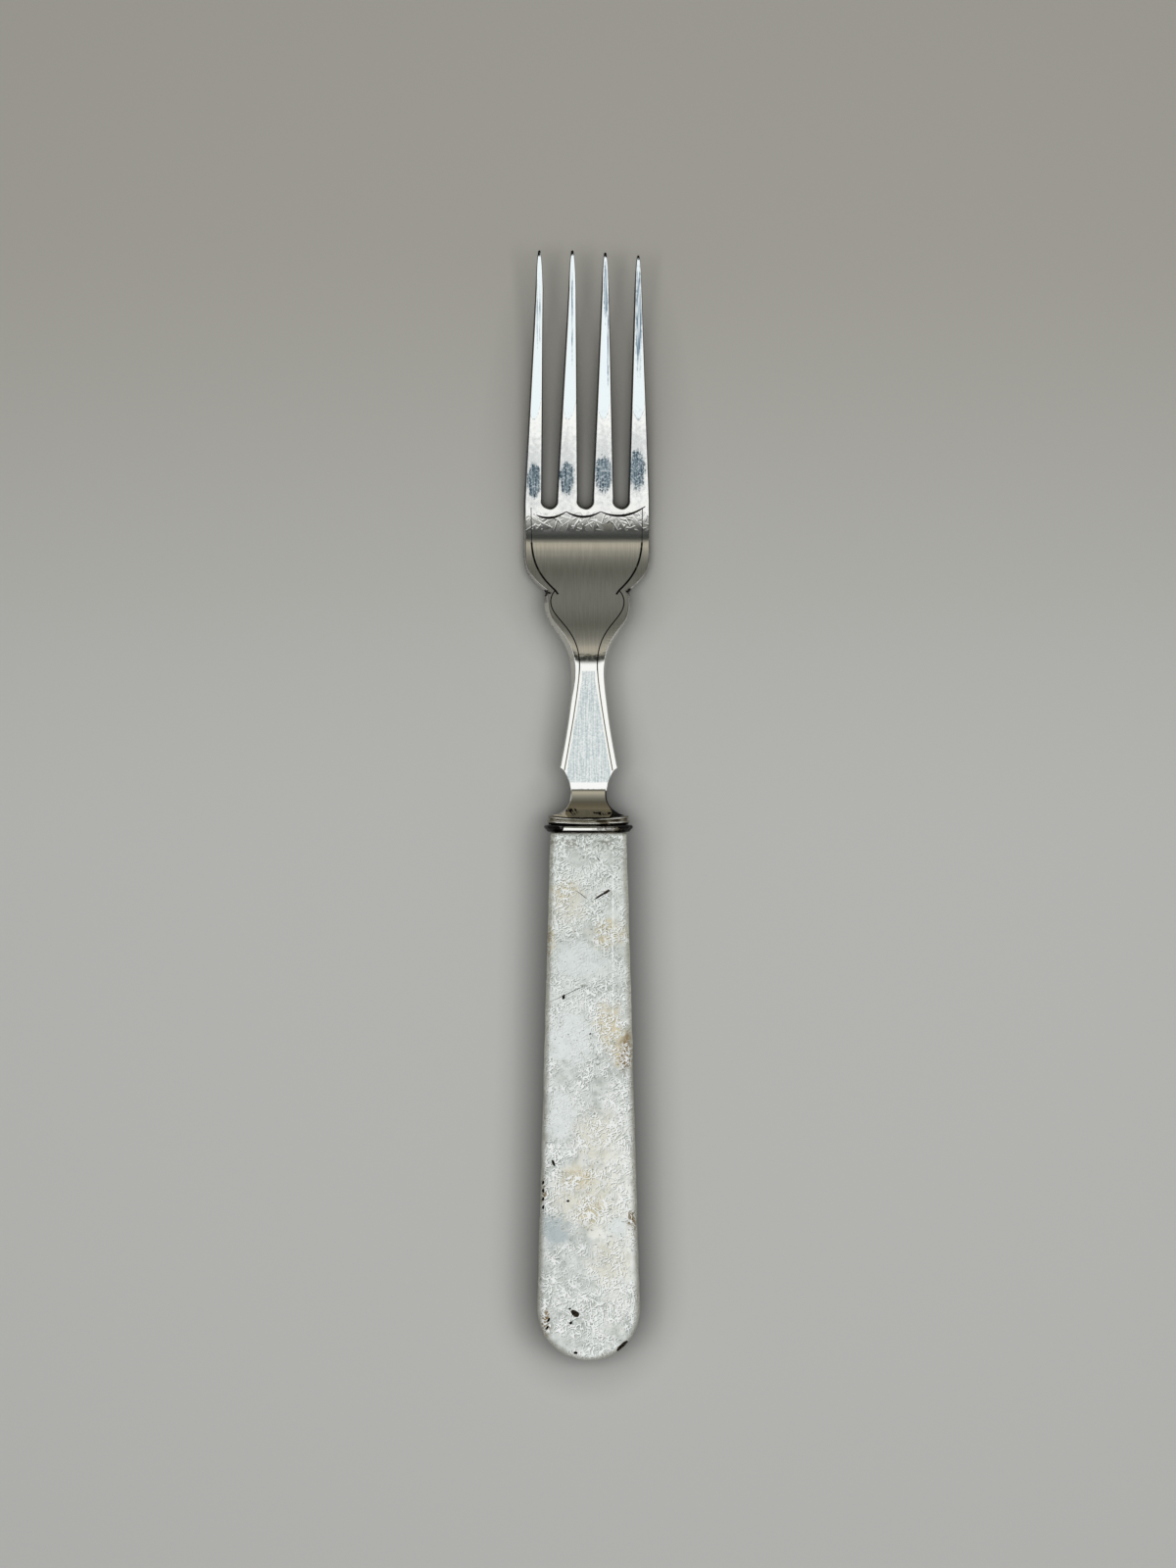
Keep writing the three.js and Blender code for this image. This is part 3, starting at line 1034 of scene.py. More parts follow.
def bore_mesh():
    bm = bmesh.new()
    top = stone_end + BORE_OVERSHOOT
    bottom = tang_low.y - BORE_ROOM
    turn = Matrix.Rotation(math.radians(90), 4, "X")
    place = Matrix.Translation((0, (top + bottom) / 2, axis_height))
    bmesh.ops.create_cone(bm, cap_ends=True, segments=BORE_SIDES, radius1=BORE_RADIUS,
                          radius2=BORE_RADIUS, depth=top - bottom, matrix=place @ turn)
    return mesh_from(bm, "bore")


taper_stone(stone_mesh)
bore = bore_mesh()
bore.materials.append(stone)
stone_mesh = combine(stone_mesh, bore, "DIFFERENCE")
finish_piece("stone_grip", stone_mesh, "stone_handle")

# %% [markdown]
# ## Tools for finishes
# Every finish is built from nodes on Object coordinates, so that it stays on the piece when the
# camera moves. Node code soon grows long. So a bench belongs to one node tree and has a short
# method for each step that the finishes are made of. Colours are written as the eye sees them.

# %% A bench for nodes
def same(value):
    """The same value along all three axes."""
    return (value, value, value)


def srgb(red, green, blue):
    """A colour as the eye sees it, from 0 to 255, turned into light."""
    def light(value):
        share = value / 255
        return share / 12.92 if share <= 0.04045 else ((share + 0.055) / 1.055) ** 2.4
    return (light(red), light(green), light(blue), 1)


class Bench:
    """One node tree and the steps that the finishes are made of."""

    def __init__(self, tree):
        self.tree = tree

    def add(self, kind, inputs=(), **settings):
        """Adds a node; each input is a value or the socket that feeds it."""
        node = self.tree.nodes.new(kind)
        for name, value in settings.items():
            setattr(node, name, value)
        for key, value in dict(inputs).items():
            if isinstance(value, bpy.types.NodeSocket):
                self.tree.links.new(value, node.inputs[key])
            else:
                node.inputs[key].default_value = value
        return node

    def change(self, operation, value):
        return self.add("ShaderNodeMath", {0: value}, operation=operation).outputs[0]

    def calculate(self, operation, first, *others):
        """Takes values together, from left to right."""
        for other in others:
            first = self.add("ShaderNodeMath", {0: first, 1: other}, operation=operation).outputs[0]
        return first

    def times(self, *values):
        return self.calculate("MULTIPLY", *values)

    def plus(self, *values):
        return self.calculate("ADD", *values)

    def minus(self, first, second):
        return self.calculate("SUBTRACT", first, second)

    def most(self, *values):
        return self.calculate("MAXIMUM", *values)

    def slope(self, value, start, end, first=0.0, last=1.0, kind="LINEAR"):
        """The first number before start, the last one after end and a change between them."""
        ends = {"Value": value, "From Min": start, "From Max": end, "To Min": first, "To Max": last}
        return self.add("ShaderNodeMapRange", ends, interpolation_type=kind).outputs["Result"]

    def rise(self, value, start, end):
        """A soft step from 0 to 1; start may be the larger of the two."""
        return self.slope(value, start, end, kind="SMOOTHSTEP")

    def between(self, value, low, high, soft):
        """1 between low and high, with soft ends."""
        above_low = self.rise(value, low - soft, low + soft)
        below_high = self.rise(value, high + soft, high - soft)
        return self.times(above_low, below_high)

    def mix(self, share, first, second, way="MIX"):
        return self.add("ShaderNodeMix", {0: share, 6: first, 7: second}, data_type="RGBA",
                        blend_type=way).outputs[2]

    def coats(self, ground, *coats):
        """Lays coats of (mask, colour) over a ground; a coat may name another way to mix."""
        for mask, *coat in coats:
            ground = self.mix(mask, ground, *coat)
        return ground

    def vector(self, operation, first, second):
        node = self.add("ShaderNodeVectorMath", {0: first, 1: second}, operation=operation)
        return node.outputs["Vector"]

    def length(self, vector):
        return self.add("ShaderNodeVectorMath", {0: vector}, operation="LENGTH").outputs["Value"]

    def parts(self, vector):
        split = self.add("ShaderNodeSeparateXYZ", {0: vector})
        return split.outputs["X"], split.outputs["Y"], split.outputs["Z"]

    def cloud(self, place, size, detail=2.0, output="Fac"):
        """Soft random patches of about the given size in millimetres."""
        inputs = {"Vector": place, "Scale": 1 / size, "Detail": detail}
        return self.add("ShaderNodeTexNoise", inputs).outputs[output]

    def wander(self, place, size, reach):
        """The place moved about softly, so that what is drawn there bends; reach in millimetres."""
        drift = self.vector("SUBTRACT", self.cloud(place, size, 1.0, "Color"), same(0.5))
        return self.vector("ADD", place, self.vector("MULTIPLY", drift, same(2 * reach)))


print("white as light:", srgb(255, 255, 255))

# %% A bench that starts from a material
class Finish(Bench):
    """The bench of one material, with its shader and the place on the piece in millimetres."""

    def __init__(self, material, **even_values):
        material.use_nodes = True
        super().__init__(material.node_tree)
        self.shader = self.tree.nodes["Principled BSDF"]
        for name, value in even_values.items():
            self.shader.inputs[name.title()].default_value = value
        coordinates = self.add("ShaderNodeTexCoord").outputs["Object"]
        self.place = self.vector("MULTIPLY", coordinates, same(1 / MM))
        self.x, self.y, self.z = self.parts(self.place)

    def patches(self, size, start, full, detail=3.0):
        """Random patches that begin where the noise passes start; a lower start gives larger ones."""
        return self.rise(self.cloud(self.place, size, detail), start, full)

    def feed(self, **values):
        """Links colours and values to the shader's inputs; base_color stands for Base Color."""
        for name, value in values.items():
            self.tree.links.new(value, self.shader.inputs[name.replace("_", " ").title()])

    def relief(self, *layers):
        """Bumps from layers of a mask and a height in millimetres."""
        heights = [self.times(mask, height) for mask, height in layers]
        bump = self.add("ShaderNodeBump", {"Strength": 1.0, "Distance": MM, "Height": self.plus(*heights)})
        self.tree.links.new(bump.outputs["Normal"], self.shader.inputs["Normal"])


print("a finish knows", [name for name in vars(Finish) if not name.startswith("_")])

# %% [markdown]
# ## Two effects that several finishes share
# A spot is a ragged patch at one place: a stain, a tan patch in the stone, dirt in a corner.
# Strokes are short straight marks in one direction: scratches, brushing and the drag of polishing.
# Each is a node group with named inputs, so a material only says where, how large and how soft.

# %% Build the node groups
ORIGIN = same(0.0)
UNIT = same(1.0)
WOBBLE = 3.0


def new_group(name, inputs):
    """A node group with named inputs and one output called Mask; returns its bench and its inputs."""
    group = bpy.data.node_groups.new(name, "ShaderNodeTree")
    for label, value in inputs.items():
        kind = "NodeSocketVector" if isinstance(value, tuple) else "NodeSocketFloat"
        group.interface.new_socket(label, in_out="INPUT", socket_type=kind).default_value = value
    group.interface.new_socket("Mask", in_out="OUTPUT", socket_type="NodeSocketFloat")
    bench = Bench(group)
    return bench, bench.add("NodeGroupInput").outputs


def spot_group():
    bench, given = new_group("Spot", {"Place": ORIGIN, "Centre": ORIGIN, "Size": UNIT, "Softness": 0.3,
                                      "Raggedness": 0.6, "Fineness": 1.5})
    offset = bench.vector("SUBTRACT", given["Place"], given["Centre"])
    distance = bench.length(bench.vector("DIVIDE", offset, given["Size"]))
    grain = bench.add("ShaderNodeTexNoise", {"Vector": given["Place"], "Scale": given["Fineness"]})
    uneven = bench.minus(grain.outputs["Fac"], 0.5)
    ragged = bench.plus(distance, bench.times(uneven, given["Raggedness"], WOBBLE))
    outer = bench.plus(1.0, given["Softness"])
    inner = bench.minus(1.0, given["Softness"])
    bench.add("NodeGroupOutput", {"Mask": bench.rise(ragged, outer, inner)})
    return bench.tree


def stroke_group():
    bench, given = new_group("Strokes", {"Place": ORIGIN, "Turn": 0.0, "Length": 2.0, "Width": 0.1,
                                         "Threshold": 0.6, "Softness": 0.05})
    turned = bench.add("ShaderNodeVectorRotate", {"Vector": given["Place"], "Angle": given["Turn"]},
                       rotation_type="Z_AXIS").outputs["Vector"]
    sizes = bench.add("ShaderNodeCombineXYZ", {0: given["Length"], 1: given["Width"], 2: given["Length"]})
    shares = bench.vector("DIVIDE", turned, sizes.outputs["Vector"])
    level = bench.cloud(shares, size=1.0, detail=0.0)
    top = bench.plus(given["Threshold"], given["Softness"])
    bench.add("NodeGroupOutput", {"Mask": bench.rise(level, given["Threshold"], top)})
    return bench.tree


spot_nodes = spot_group()
stroke_nodes = stroke_group()
print("node groups:", [group.name for group in (spot_nodes, stroke_nodes)])

# %% Place the groups in a finish
FAR = 1000.0


def use(finish, group, **inputs):
    """Places a node group in a material and returns its mask."""
    named = {label.title(): value for label, value in inputs.items()}
    return finish.add("ShaderNodeGroup", named, node_tree=group).outputs["Mask"]


def spots(finish, places, place=None, **settings):
    """Spots on the front face, each with its place across and along and half its width and length."""
    ground = finish.place if place is None else place
    masks = []
    for x, y, half_width, half_length in places:
        size = (half_width, half_length, FAR)
        masks.append(use(finish, spot_nodes, place=ground, centre=(x, y, 0), size=size, **settings))
    return finish.most(*masks)


def strokes(finish, degrees, place=None, **settings):
    """Strokes at an angle from the fork's width, with their length and width in millimetres."""
    ground = finish.place if place is None else place
    return use(finish, stroke_nodes, place=ground, turn=math.radians(degrees), **settings)


print("spots and strokes ready")

# %% [markdown]
# ## The silver of the head
# Polished metal shows its surroundings more than a colour of its own, so this finish is a pale,
# smooth metal. What tells of its age lies on top: a bluish mottled film on the panel, grey stains
# on the tines, scratches where the bowl meets them, and dirt in the corners. Reflection and shade
# are painted on as well: grey streaks and a cool tint on the tines, darker walls and bowl edges,
# a darker, warmer foot of the neck and a dark right flank.

# %% Film on the panel, and a painted reflection on the tines' flat faces
FILM_TOP = CREST - 1.8
FILM_NARROW = CORNER + 15
FILM_GAP = 0.3
FACE_END = SLOT_BOTTOM + 15.2
FACE_ROUND = 2.2
FACE_SHIFT = 0.4


def panel_film(finish):
    """The mottled film on the front of the panel, inside its engraved border."""
    half = finish.slope(finish.y, BORDER_CORNER.y, FILM_NARROW, BORDER_CORNER.x, BORDER_THROAT.x)
    to_border = finish.minus(half, finish.change("ABSOLUTE", finish.x))
    inside = finish.rise(to_border, FILM_GAP, FILM_GAP + 0.2)
    along = finish.between(finish.y, PANEL + 0.1, FILM_TOP, soft=0.2)
    front = finish.rise(finish.z, axis_height + 1.1, axis_height + 1.5)
    return finish.times(inside, along, front)


def beyond_face_end(finish):
    """How far a place lies beyond the round lower end of its tine's flat face, in millimetres."""
    x, y, _ = finish.parts(finish.wander(finish.place, size=1.5, reach=0.25))
    pitch = finish.slope(y, ROOT_LINE, tips, SLOT_PITCH, TIP_PITCH)
    tines = finish.plus(finish.calculate("DIVIDE", finish.plus(x, FACE_SHIFT), pitch), TINE_COUNT)
    aside = finish.times(finish.minus(finish.change("FRACT", tines), 0.5), pitch)
    return finish.minus(finish.minus(y, FACE_END), finish.times(aside, aside, FACE_ROUND))


def tine_faces(finish, rightward, speckle):
    """Masks of the tines' flat faces, which get a painted cool reflection, and of the speckled line at
    their lower ends.
    """
    beyond = beyond_face_end(finish)
    rounded_edge = finish.rise(finish.change("ABSOLUTE", rightward), 0.08, 0.3)
    tine_face = finish.minus(finish.rise(beyond, -0.2, 0.3), rounded_edge)
    face_line = finish.times(finish.between(beyond, -0.25, 0.0, soft=0.15), speckle)
    return finish.most(tine_face, 0.0), face_line


def filed_walls(finish, upward):
    """Masks of the walls between the tines and of all steep walls of the head, where shade is painted."""
    level = finish.change("ABSOLUTE", upward)
    tine_wall = finish.times(finish.rise(level, 0.88, 0.6), finish.rise(finish.y, HEEL, SLOT_BOTTOM))
    return tine_wall, finish.most(finish.rise(level, 0.6, 0.25), tine_wall)


print(f"the film ends {FILM_TOP - foot:.1f} mm and the flat faces {FACE_END - foot:.1f} mm above the foot")

# %% Dirt, painted shade and scratches on the head
# Spots: place across and along, half the width and half the length.
NOTCH_DIRT = [(-7.45, NOTCH - 0.2, 0.8, 0.6), (7.05, NOTCH + 0.05, 0.6, 0.6)]
NECK_DIRT = [(-2.9, foot + 0.6, 1.1, 0.6), (2.4, foot + 0.4, 1.5, 0.3)]
TIP_DIRT = [(tip_x(number) - HEAD_SHIFT, tips - TIP_WEAR[number], 0.8, 0.85)
            for number in range(TINE_COUNT)]
SCRATCH_TURNS = (20, 60, 105, 150)


def head_dirt_and_shade(finish, rightward):
    """Dirt in the notches, on the tips and on the neck's foot, dark patches along the crease, and painted
    shade on the right flank.
    """
    corners = spots(finish, NOTCH_DIRT + TIP_DIRT, softness=0.4, raggedness=0.8)
    rubbed = strokes(finish, 55, length=1.4, width=0.36, threshold=0.42)
    rubs = finish.times(rubbed, spots(finish, NECK_DIRT, softness=0.3))
    in_crease = finish.between(finish.y, CREASE - 0.12, CREASE + 0.02, soft=0.1)
    crease = finish.times(in_crease, finish.patches(size=0.5, start=0.45, full=1.0, detail=2.0))
    # Painted shade: the right flank of the neck's foot goes dark because it faces sideways.
    flank = finish.times(finish.rise(rightward, 0.25, 0.5), finish.rise(finish.y, CREASE, CREASE - 0.6))
    return finish.most(corners, rubs, crease, flank)


def heel_scratches(finish, dimple):
    """Crossing scratches between the heel and the slots, with a smooth dimple among them."""
    marks = [strokes(finish, turn, length=3.0, width=0.6, threshold=0.6, softness=0.08)
             for turn in SCRATCH_TURNS]
    zone = finish.minus(finish.between(finish.y, HEEL + 1.4, SLOT_BOTTOM - 1.3, soft=0.9), dimple)
    return finish.times(finish.most(*marks), finish.most(zone, 0.0))


print("dirt in", len(NOTCH_DIRT + NECK_DIRT + TIP_DIRT), "places")

# %% Stains and worn places of the head
STAINS = [(-9.45, SLOT_BOTTOM + 4.6, 1.15, 2.9), (-3.7, SLOT_BOTTOM + 5.0, 1.3, 2.8),
          (2.6, SLOT_BOTTOM + 5.7, 1.45, 3.0), (8.4, SLOT_BOTTOM + 6.4, 1.3, 3.4)]
HALO_RISE = 1.5
HALO_HALVES = (1.7, 6.0)
HALOS = [(x, y + HALO_RISE, *HALO_HALVES) for x, y, *_ in STAINS]
# Streaks: painted reflections down the middle of the tines, as a slightly curved face gives them.
REFLECTION_STREAKS = [(-8.75, tips - 11, 0.12, 5.0), (-8.35, tips - 10, 0.1, 5.0), (-2.8, tips - 11, 0.14, 7.0),
           (3.0, tips - 7, 0.36, 4.5), (3.35, tips - 15, 0.14, 7.0), (8.6, tips - 11.5, 0.5, 8.5)]
DIMPLE = [(3.4, HEEL + 1.6, 1.0, 0.8)]


def tine_stains(finish, grain):
    stains = spots(finish, STAINS, softness=0.36, raggedness=0.24, fineness=0.9)
    return finish.times(stains, finish.plus(0.72, grain))


def tine_reflection_streaks(finish, drag):
    streaks = spots(finish, REFLECTION_STREAKS, softness=0.4, raggedness=0.3)
    return finish.times(streaks, finish.minus(1.2, drag))


def crest_blotches(finish):
    at_crest = finish.between(finish.y, CREST - 0.1, CREST + 1.0, soft=0.2)
    return finish.times(at_crest, finish.patches(size=0.9, start=0.4, full=0.6))


def brushed_bowl(finish, drag):
    in_bowl = finish.between(finish.y, CREST + 1, HEEL - 1, soft=1.0)
    return finish.times(finish.minus(1.0, drag), 0.3, in_bowl)


print(len(STAINS), "stains and", len(REFLECTION_STREAKS), "streaks")

# %% Finish the silver
SILVER = srgb(247, 248, 246)
FILM_LIGHT = srgb(234, 239, 239)
FILM_DARK = srgb(184, 196, 199)
STAIN_DARK = srgb(70, 86, 98)
STAIN_LIGHT = srgb(140, 156, 165)
STREAK_REFLECTION = srgb(116, 136, 152)
COOL_FACE_REFLECTION = srgb(236, 246, 250)
FACE_LINE = srgb(158, 174, 180)
EDGE_SHADE_LINE = srgb(66, 63, 56)
NECK_SILVER = srgb(250, 249, 243)
NECK_FOOT_SHADE = srgb(212, 200, 175)
BRUSHED = srgb(214, 213, 208)
WALL_SHADE = srgb(196, 193, 183)
TINE_WALL_SHADE = srgb(34, 32, 28)
CREST_DARK = srgb(172, 172, 162)
WORN_GREY = srgb(216, 215, 206)
DIRT_AND_SHADE = srgb(30, 27, 22)
POLISH = 0.08
DULLNESS = 0.1
MATTNESS = 0.55
NECK_FADE = (foot + 3.2, foot + 1.6)


def finish_silver():
    finish = Finish(silver, metallic=1.0)
    y = finish.y
    rightward, _, upward = finish.parts(finish.add("ShaderNodeNewGeometry").outputs["Normal"])
    drag = strokes(finish, 90, length=3.5, width=0.16, threshold=0.35, softness=0.3)
    speckle = finish.patches(size=0.34, start=0.36, full=0.64, detail=4.0)
    mottle = finish.times(finish.plus(speckle, drag), 0.5)
    hatching = finish.patches(size=0.34, start=0.32, full=0.62, detail=4.0)
    grain = finish.times(hatching, finish.minus(1.3, drag))
    film = panel_film(finish)
    stains = tine_stains(finish, grain)
    halo = finish.times(spots(finish, HALOS, softness=0.6), 0.36)
    dimple = spots(finish, DIMPLE, softness=0.3, raggedness=0.3)
    dark_marks = head_dirt_and_shade(finish, rightward)
    tine_face, face_line = tine_faces(finish, rightward, speckle)
    tine_wall, wall = filed_walls(finish, upward)
    # Painted shade: the neck grows darker and warmer towards its foot.
    neck_shade_tone = finish.mix(finish.rise(y, *NECK_FADE), NECK_SILVER, NECK_FOOT_SHADE)
    # Painted shade: a dark line on the rolled edges of the bowl and shank, picked out by the normal.
    bowl_edge_shade = finish.times(finish.between(upward, 0.45, 0.75, soft=0.1),
                             finish.between(y, THROAT - 1, SLOT_BOTTOM - 2, soft=1.0))
    colour = finish.coats(
        SILVER,
        (film, finish.mix(mottle, FILM_DARK, FILM_LIGHT)),
        # Painted reflection: a cool tint on the tines' flat faces, ending in a darker line.
        (tine_face, COOL_FACE_REFLECTION),
        (face_line, FACE_LINE),
        (finish.rise(y, CREASE, CREASE - 0.3), neck_shade_tone),
        # Painted shade: steep walls go darker, and the walls between the tines nearly black.
        (finish.times(wall, 0.9), finish.mix(tine_wall, WALL_SHADE, TINE_WALL_SHADE)),
        (bowl_edge_shade, EDGE_SHADE_LINE),
        # Painted reflection: grey streaks along the tines.
        (tine_reflection_streaks(finish, drag), STREAK_REFLECTION),
        (finish.most(stains, halo), finish.mix(grain, STAIN_LIGHT, STAIN_DARK)),
        (brushed_bowl(finish, drag), BRUSHED),
        (crest_blotches(finish), CREST_DARK),
        (dimple, WORN_GREY),
        (dark_marks, DIRT_AND_SHADE))
    in_bowl = finish.between(y, CREST + 3, HEEL - 3, soft=1.0)
    dull = finish.times(finish.most(film, stains, in_bowl, wall), DULLNESS)
    matt = finish.times(finish.most(dark_marks, tine_wall), MATTNESS)
    finish.feed(base_color=colour, roughness=finish.plus(dull, matt, POLISH))
    hairlines = strokes(finish, 85, length=6.0, width=0.07, threshold=0.45, softness=0.2)
    at_crest = finish.between(y, CREST + 0.3, CREST + 1.3, soft=0.3)
    finish.relief((heel_scratches(finish, dimple), -0.012), (finish.times(speckle, at_crest), 0.004),
                  (hairlines, -0.0003), (finish.cloud(finish.place, 4.0), 0.006),
                  (finish.times(mottle, film), 0.002))


finish_silver()
print("silver:", len(silver.node_tree.nodes), "nodes")

# %% [markdown]
# ## Patina, collar and ring
# The grooves hold dark patina, rubbed thin here and there. The collar is silver that was never
# polished well: mottled, brownish at its ends. The ring has black tarnish except in the middle,
# where hands and cloths keep it bright; its black ends are partly painted shade, and the dark
# lines at its foot and top are a painted shadow and painted shade.

# %% Finish the patina
PATINA_DARK = srgb(24, 22, 19)
PATINA_WORN = srgb(112, 108, 98)
PATINA_SHANK = srgb(158, 154, 138)


def finish_patina():
    finish = Finish(patina, metallic=0.5, roughness=0.55)
    worn = finish.patches(size=0.8, start=0.56, full=0.8)
    on_shank = finish.rise(finish.y, THROAT + 1.5, THROAT - 0.5)
    finish.feed(base_color=finish.coats(PATINA_DARK, (worn, PATINA_WORN), (on_shank, PATINA_SHANK)))
    finish.relief((finish.cloud(finish.place, 0.15), 0.01))


finish_patina()
print("patina:", len(patina.node_tree.nodes), "nodes")

# %% Finish the collar
COLLAR_LIGHT = srgb(240, 239, 232)
COLLAR_DULL = srgb(212, 209, 198)
COLLAR_BROWN = srgb(128, 120, 103)
TARNISH_AND_SHADE = srgb(20, 18, 16)
LIP_SEAM = collar_high.y - 2 * LIP
# Each pair: where a dark part begins and where it is full, in millimetres.
FOOT_SEAM = (collar_low.y + 0.22, collar_low.y + 0.08)
TOP_SEAM = (collar_high.y - 0.3, collar_high.y - 0.16)
BELOW_LIP = (LIP_SEAM, LIP_SEAM - 0.2)
RIGHT_HALF = (-1.0, 2.5)
BOTH_ENDS = (5.2, 6.6)


def finish_collar():
    finish = Finish(collar_silver, metallic=1.0, roughness=0.2)
    mottle = strokes(finish, 0, length=2.2, width=0.4, threshold=0.42, softness=0.2)
    hairlines = strokes(finish, 0, length=3.0, width=0.06, threshold=0.45, softness=0.2)
    broken = strokes(finish, 0, length=3.0, width=0.8, threshold=0.3, softness=0.15)
    below_lip = finish.rise(finish.y, *BELOW_LIP)
    right_half = finish.rise(finish.x, *RIGHT_HALF)
    ends = finish.rise(finish.change("ABSOLUTE", finish.x), *BOTH_ENDS)
    brown = finish.most(ends, finish.times(right_half, below_lip, mottle))
    across = finish.calculate("DIVIDE", finish.x, FOOT_HALF)
    bow = finish.minus(1.0, finish.times(across, across))
    level = finish.plus(finish.y, finish.times(bow, FOOT_BOW))
    seams = finish.most(finish.rise(level, *FOOT_SEAM), finish.rise(level, *TOP_SEAM))
    finish.feed(base_color=finish.coats(COLLAR_LIGHT, (mottle, COLLAR_DULL), (brown, COLLAR_BROWN),
                                        (finish.times(seams, broken), TARNISH_AND_SHADE)))
    finish.relief((mottle, -0.004), (hairlines, 0.0006))


finish_collar()
print("collar:", len(collar_silver.node_tree.nodes), "nodes")

# %% Finish the ring
RING_LIGHT = srgb(246, 247, 241)
RAGGED_REACH = 3.0
# Each pair: where the black begins and where it is full, in millimetres.
LEFT_END = (-4.3, -4.7)
RIGHT_FADE = (0.2, 3.4)
RIGHT_END = (3.6, 5.0)
# The foot line is a painted shadow under the ring; the top line is painted shade that keeps its highlight
# low.
FOOT_LINE = (ring_low.y + 0.36, ring_low.y + 0.2)
TOP_LINE = (ring_high.y - 0.42, ring_high.y - 0.22)


def finish_ring():
    finish = Finish(ring_tarnish_and_shade, metallic=1.0)
    uneven = finish.minus(finish.cloud(finish.place, 0.9, 3.0), 0.5)
    across = finish.plus(finish.x, finish.times(uneven, RAGGED_REACH))
    specks = finish.patches(size=0.5, start=0.5, full=0.6)
    # The black ends and the fade towards the right are partly tarnish and partly painted shade, where the
    # ring's face turns away.
    ends = [finish.rise(across, *end) for end in (LEFT_END, RIGHT_END)]
    fading = finish.times(finish.rise(across, *RIGHT_FADE), finish.plus(0.6, specks))
    lines = [finish.rise(finish.y, *edge) for edge in (FOOT_LINE, TOP_LINE)]
    black = finish.most(fading, *ends, *lines)
    brown = finish.times(specks, finish.between(finish.x, 2.0, 5.6, soft=0.6))
    finish.feed(base_color=finish.mix(black, RING_LIGHT, finish.mix(brown, TARNISH_AND_SHADE, COLLAR_BROWN)),
                roughness=finish.plus(0.16, finish.times(black, 0.3)))
    finish.relief((black, 0.02), (finish.cloud(finish.place, 0.6), 0.02))


finish_ring()
print("ring:", len(ring_tarnish_and_shade.node_tree.nodes), "nodes")

# %% [markdown]
# ## The stone
# The stone is a pale mass of fine crystals: white worm-like lines on grey and cream ground, with
# tan patches, smooth grey patches and small dark specks. The white lines are partly painted
# highlights, each with a painted shadow on one side, as light from above would give it, and the
# patches stand where the handle has them. Near its outline the stone carries painted shade, a
# painted highlight runs along the right-hand ridge, and a painted shadow lies under the ring.

# %% Masks on the stone
# Patches: place across and along, half the width and half the length.
CREAM_PATCHES = [(-3.6, -16.7, 3.2, 3.8), (1.4, -57.0, 3.6, 4.0), (-0.5, -66.5, 5.0, 5.2),
                 (3.4, -77.9, 3.0, 3.6)]
TAN_PATCHES = [(3.8, -22.0, 3.2, 2.2), (-6.5, -22.9, 0.8, 2.5), (3.6, -37.4, 2.0, 3.6),
               (5.8, -41.5, 1.6, 3.6), (-1.6, -64.0, 2.4, 2.2), (0.4, -69.2, 2.2, 2.2),
               (-4.2, -14.9, 2.2, 1.8)]
BROWN_PATCHES = [(6.7, -42.0, 1.2, 3.7), (7.5, -70.8, 0.8, 1.4), (-7.3, -88.7, 0.9, 2.8),
                 (-7.7, -66.0, 0.4, 2.4), (-6.7, -23.0, 0.5, 2.0)]
SMOOTH_PATCHES = [(-1.7, -26.5, 4.6, 3.4), (-2.9, -40.0, 4.0, 4.3), (-4.6, -52.8, 2.3, 4.2),
                  (4.9, -72.2, 1.7, 2.3)]
BLUE_PATCHES = [(-5.4, -72.7, 2.6, 2.8)]
PALE_PATCHES = [(4.4, -70.0, 4.0, 17.0)]
ALL_PATCHES = (CREAM_PATCHES, TAN_PATCHES, BROWN_PATCHES, SMOOTH_PATCHES, BLUE_PATCHES, PALE_PATCHES)
SHADOW_SHIFT = (-0.1, 0.1, 0.0)
CRYSTAL_TURNS = (35, 80, 150)
RIDGE_LINE = 0.14
# Each pair: where a change along the stone begins and where it is full.
NEAR_RING = (stone_end - 4.2, stone_end - 1.6)
UNDER_RING_SHADOW = (stone_end - 0.6, stone_end - 0.1)
TOP_FADE = (stone_end - 32, stone_end - 20)


def to_stone_rim(finish):
    """The distance from the stone's outline, along its sides and round its butt."""
    round_start = butt + stone_half
    half = finish.slope(finish.y, stone_end, round_start, stone_end_half, stone_half)
    below = finish.calculate("MINIMUM", finish.minus(finish.y, round_start), 0.0)
    flat = finish.add("ShaderNodeCombineXYZ", {0: finish.x, 1: below}).outputs["Vector"]
    return finish.minus(half, finish.length(flat))


def crystal_lines(finish, place):
    """Short worm-like lines; asked for once more a little aside, they give the painted shadow beside them.
    """
    bent = finish.wander(place, size=0.9, reach=0.4)
    lines = [strokes(finish, turn, bent, length=1.1, width=0.22, threshold=0.6) for turn in CRYSTAL_TURNS]
    crowded = finish.rise(finish.cloud(place, 3.4, 3.0), 0.3, 0.54)
    return finish.times(finish.most(*lines), crowded)


def ridge_highlight(finish):
    """A painted highlight: the white line where the right-hand bevel meets the face."""
    line_across = finish.between(finish.x, RIDGE - RIDGE_LINE, RIDGE + RIDGE_LINE, soft=0.08)
    line_along = finish.between(finish.y, RIDGE_END, stone_end - END_STRAIGHT, soft=0.6)
    return finish.times(line_across, line_along, finish.patches(size=1.4, start=0.4, full=0.6))


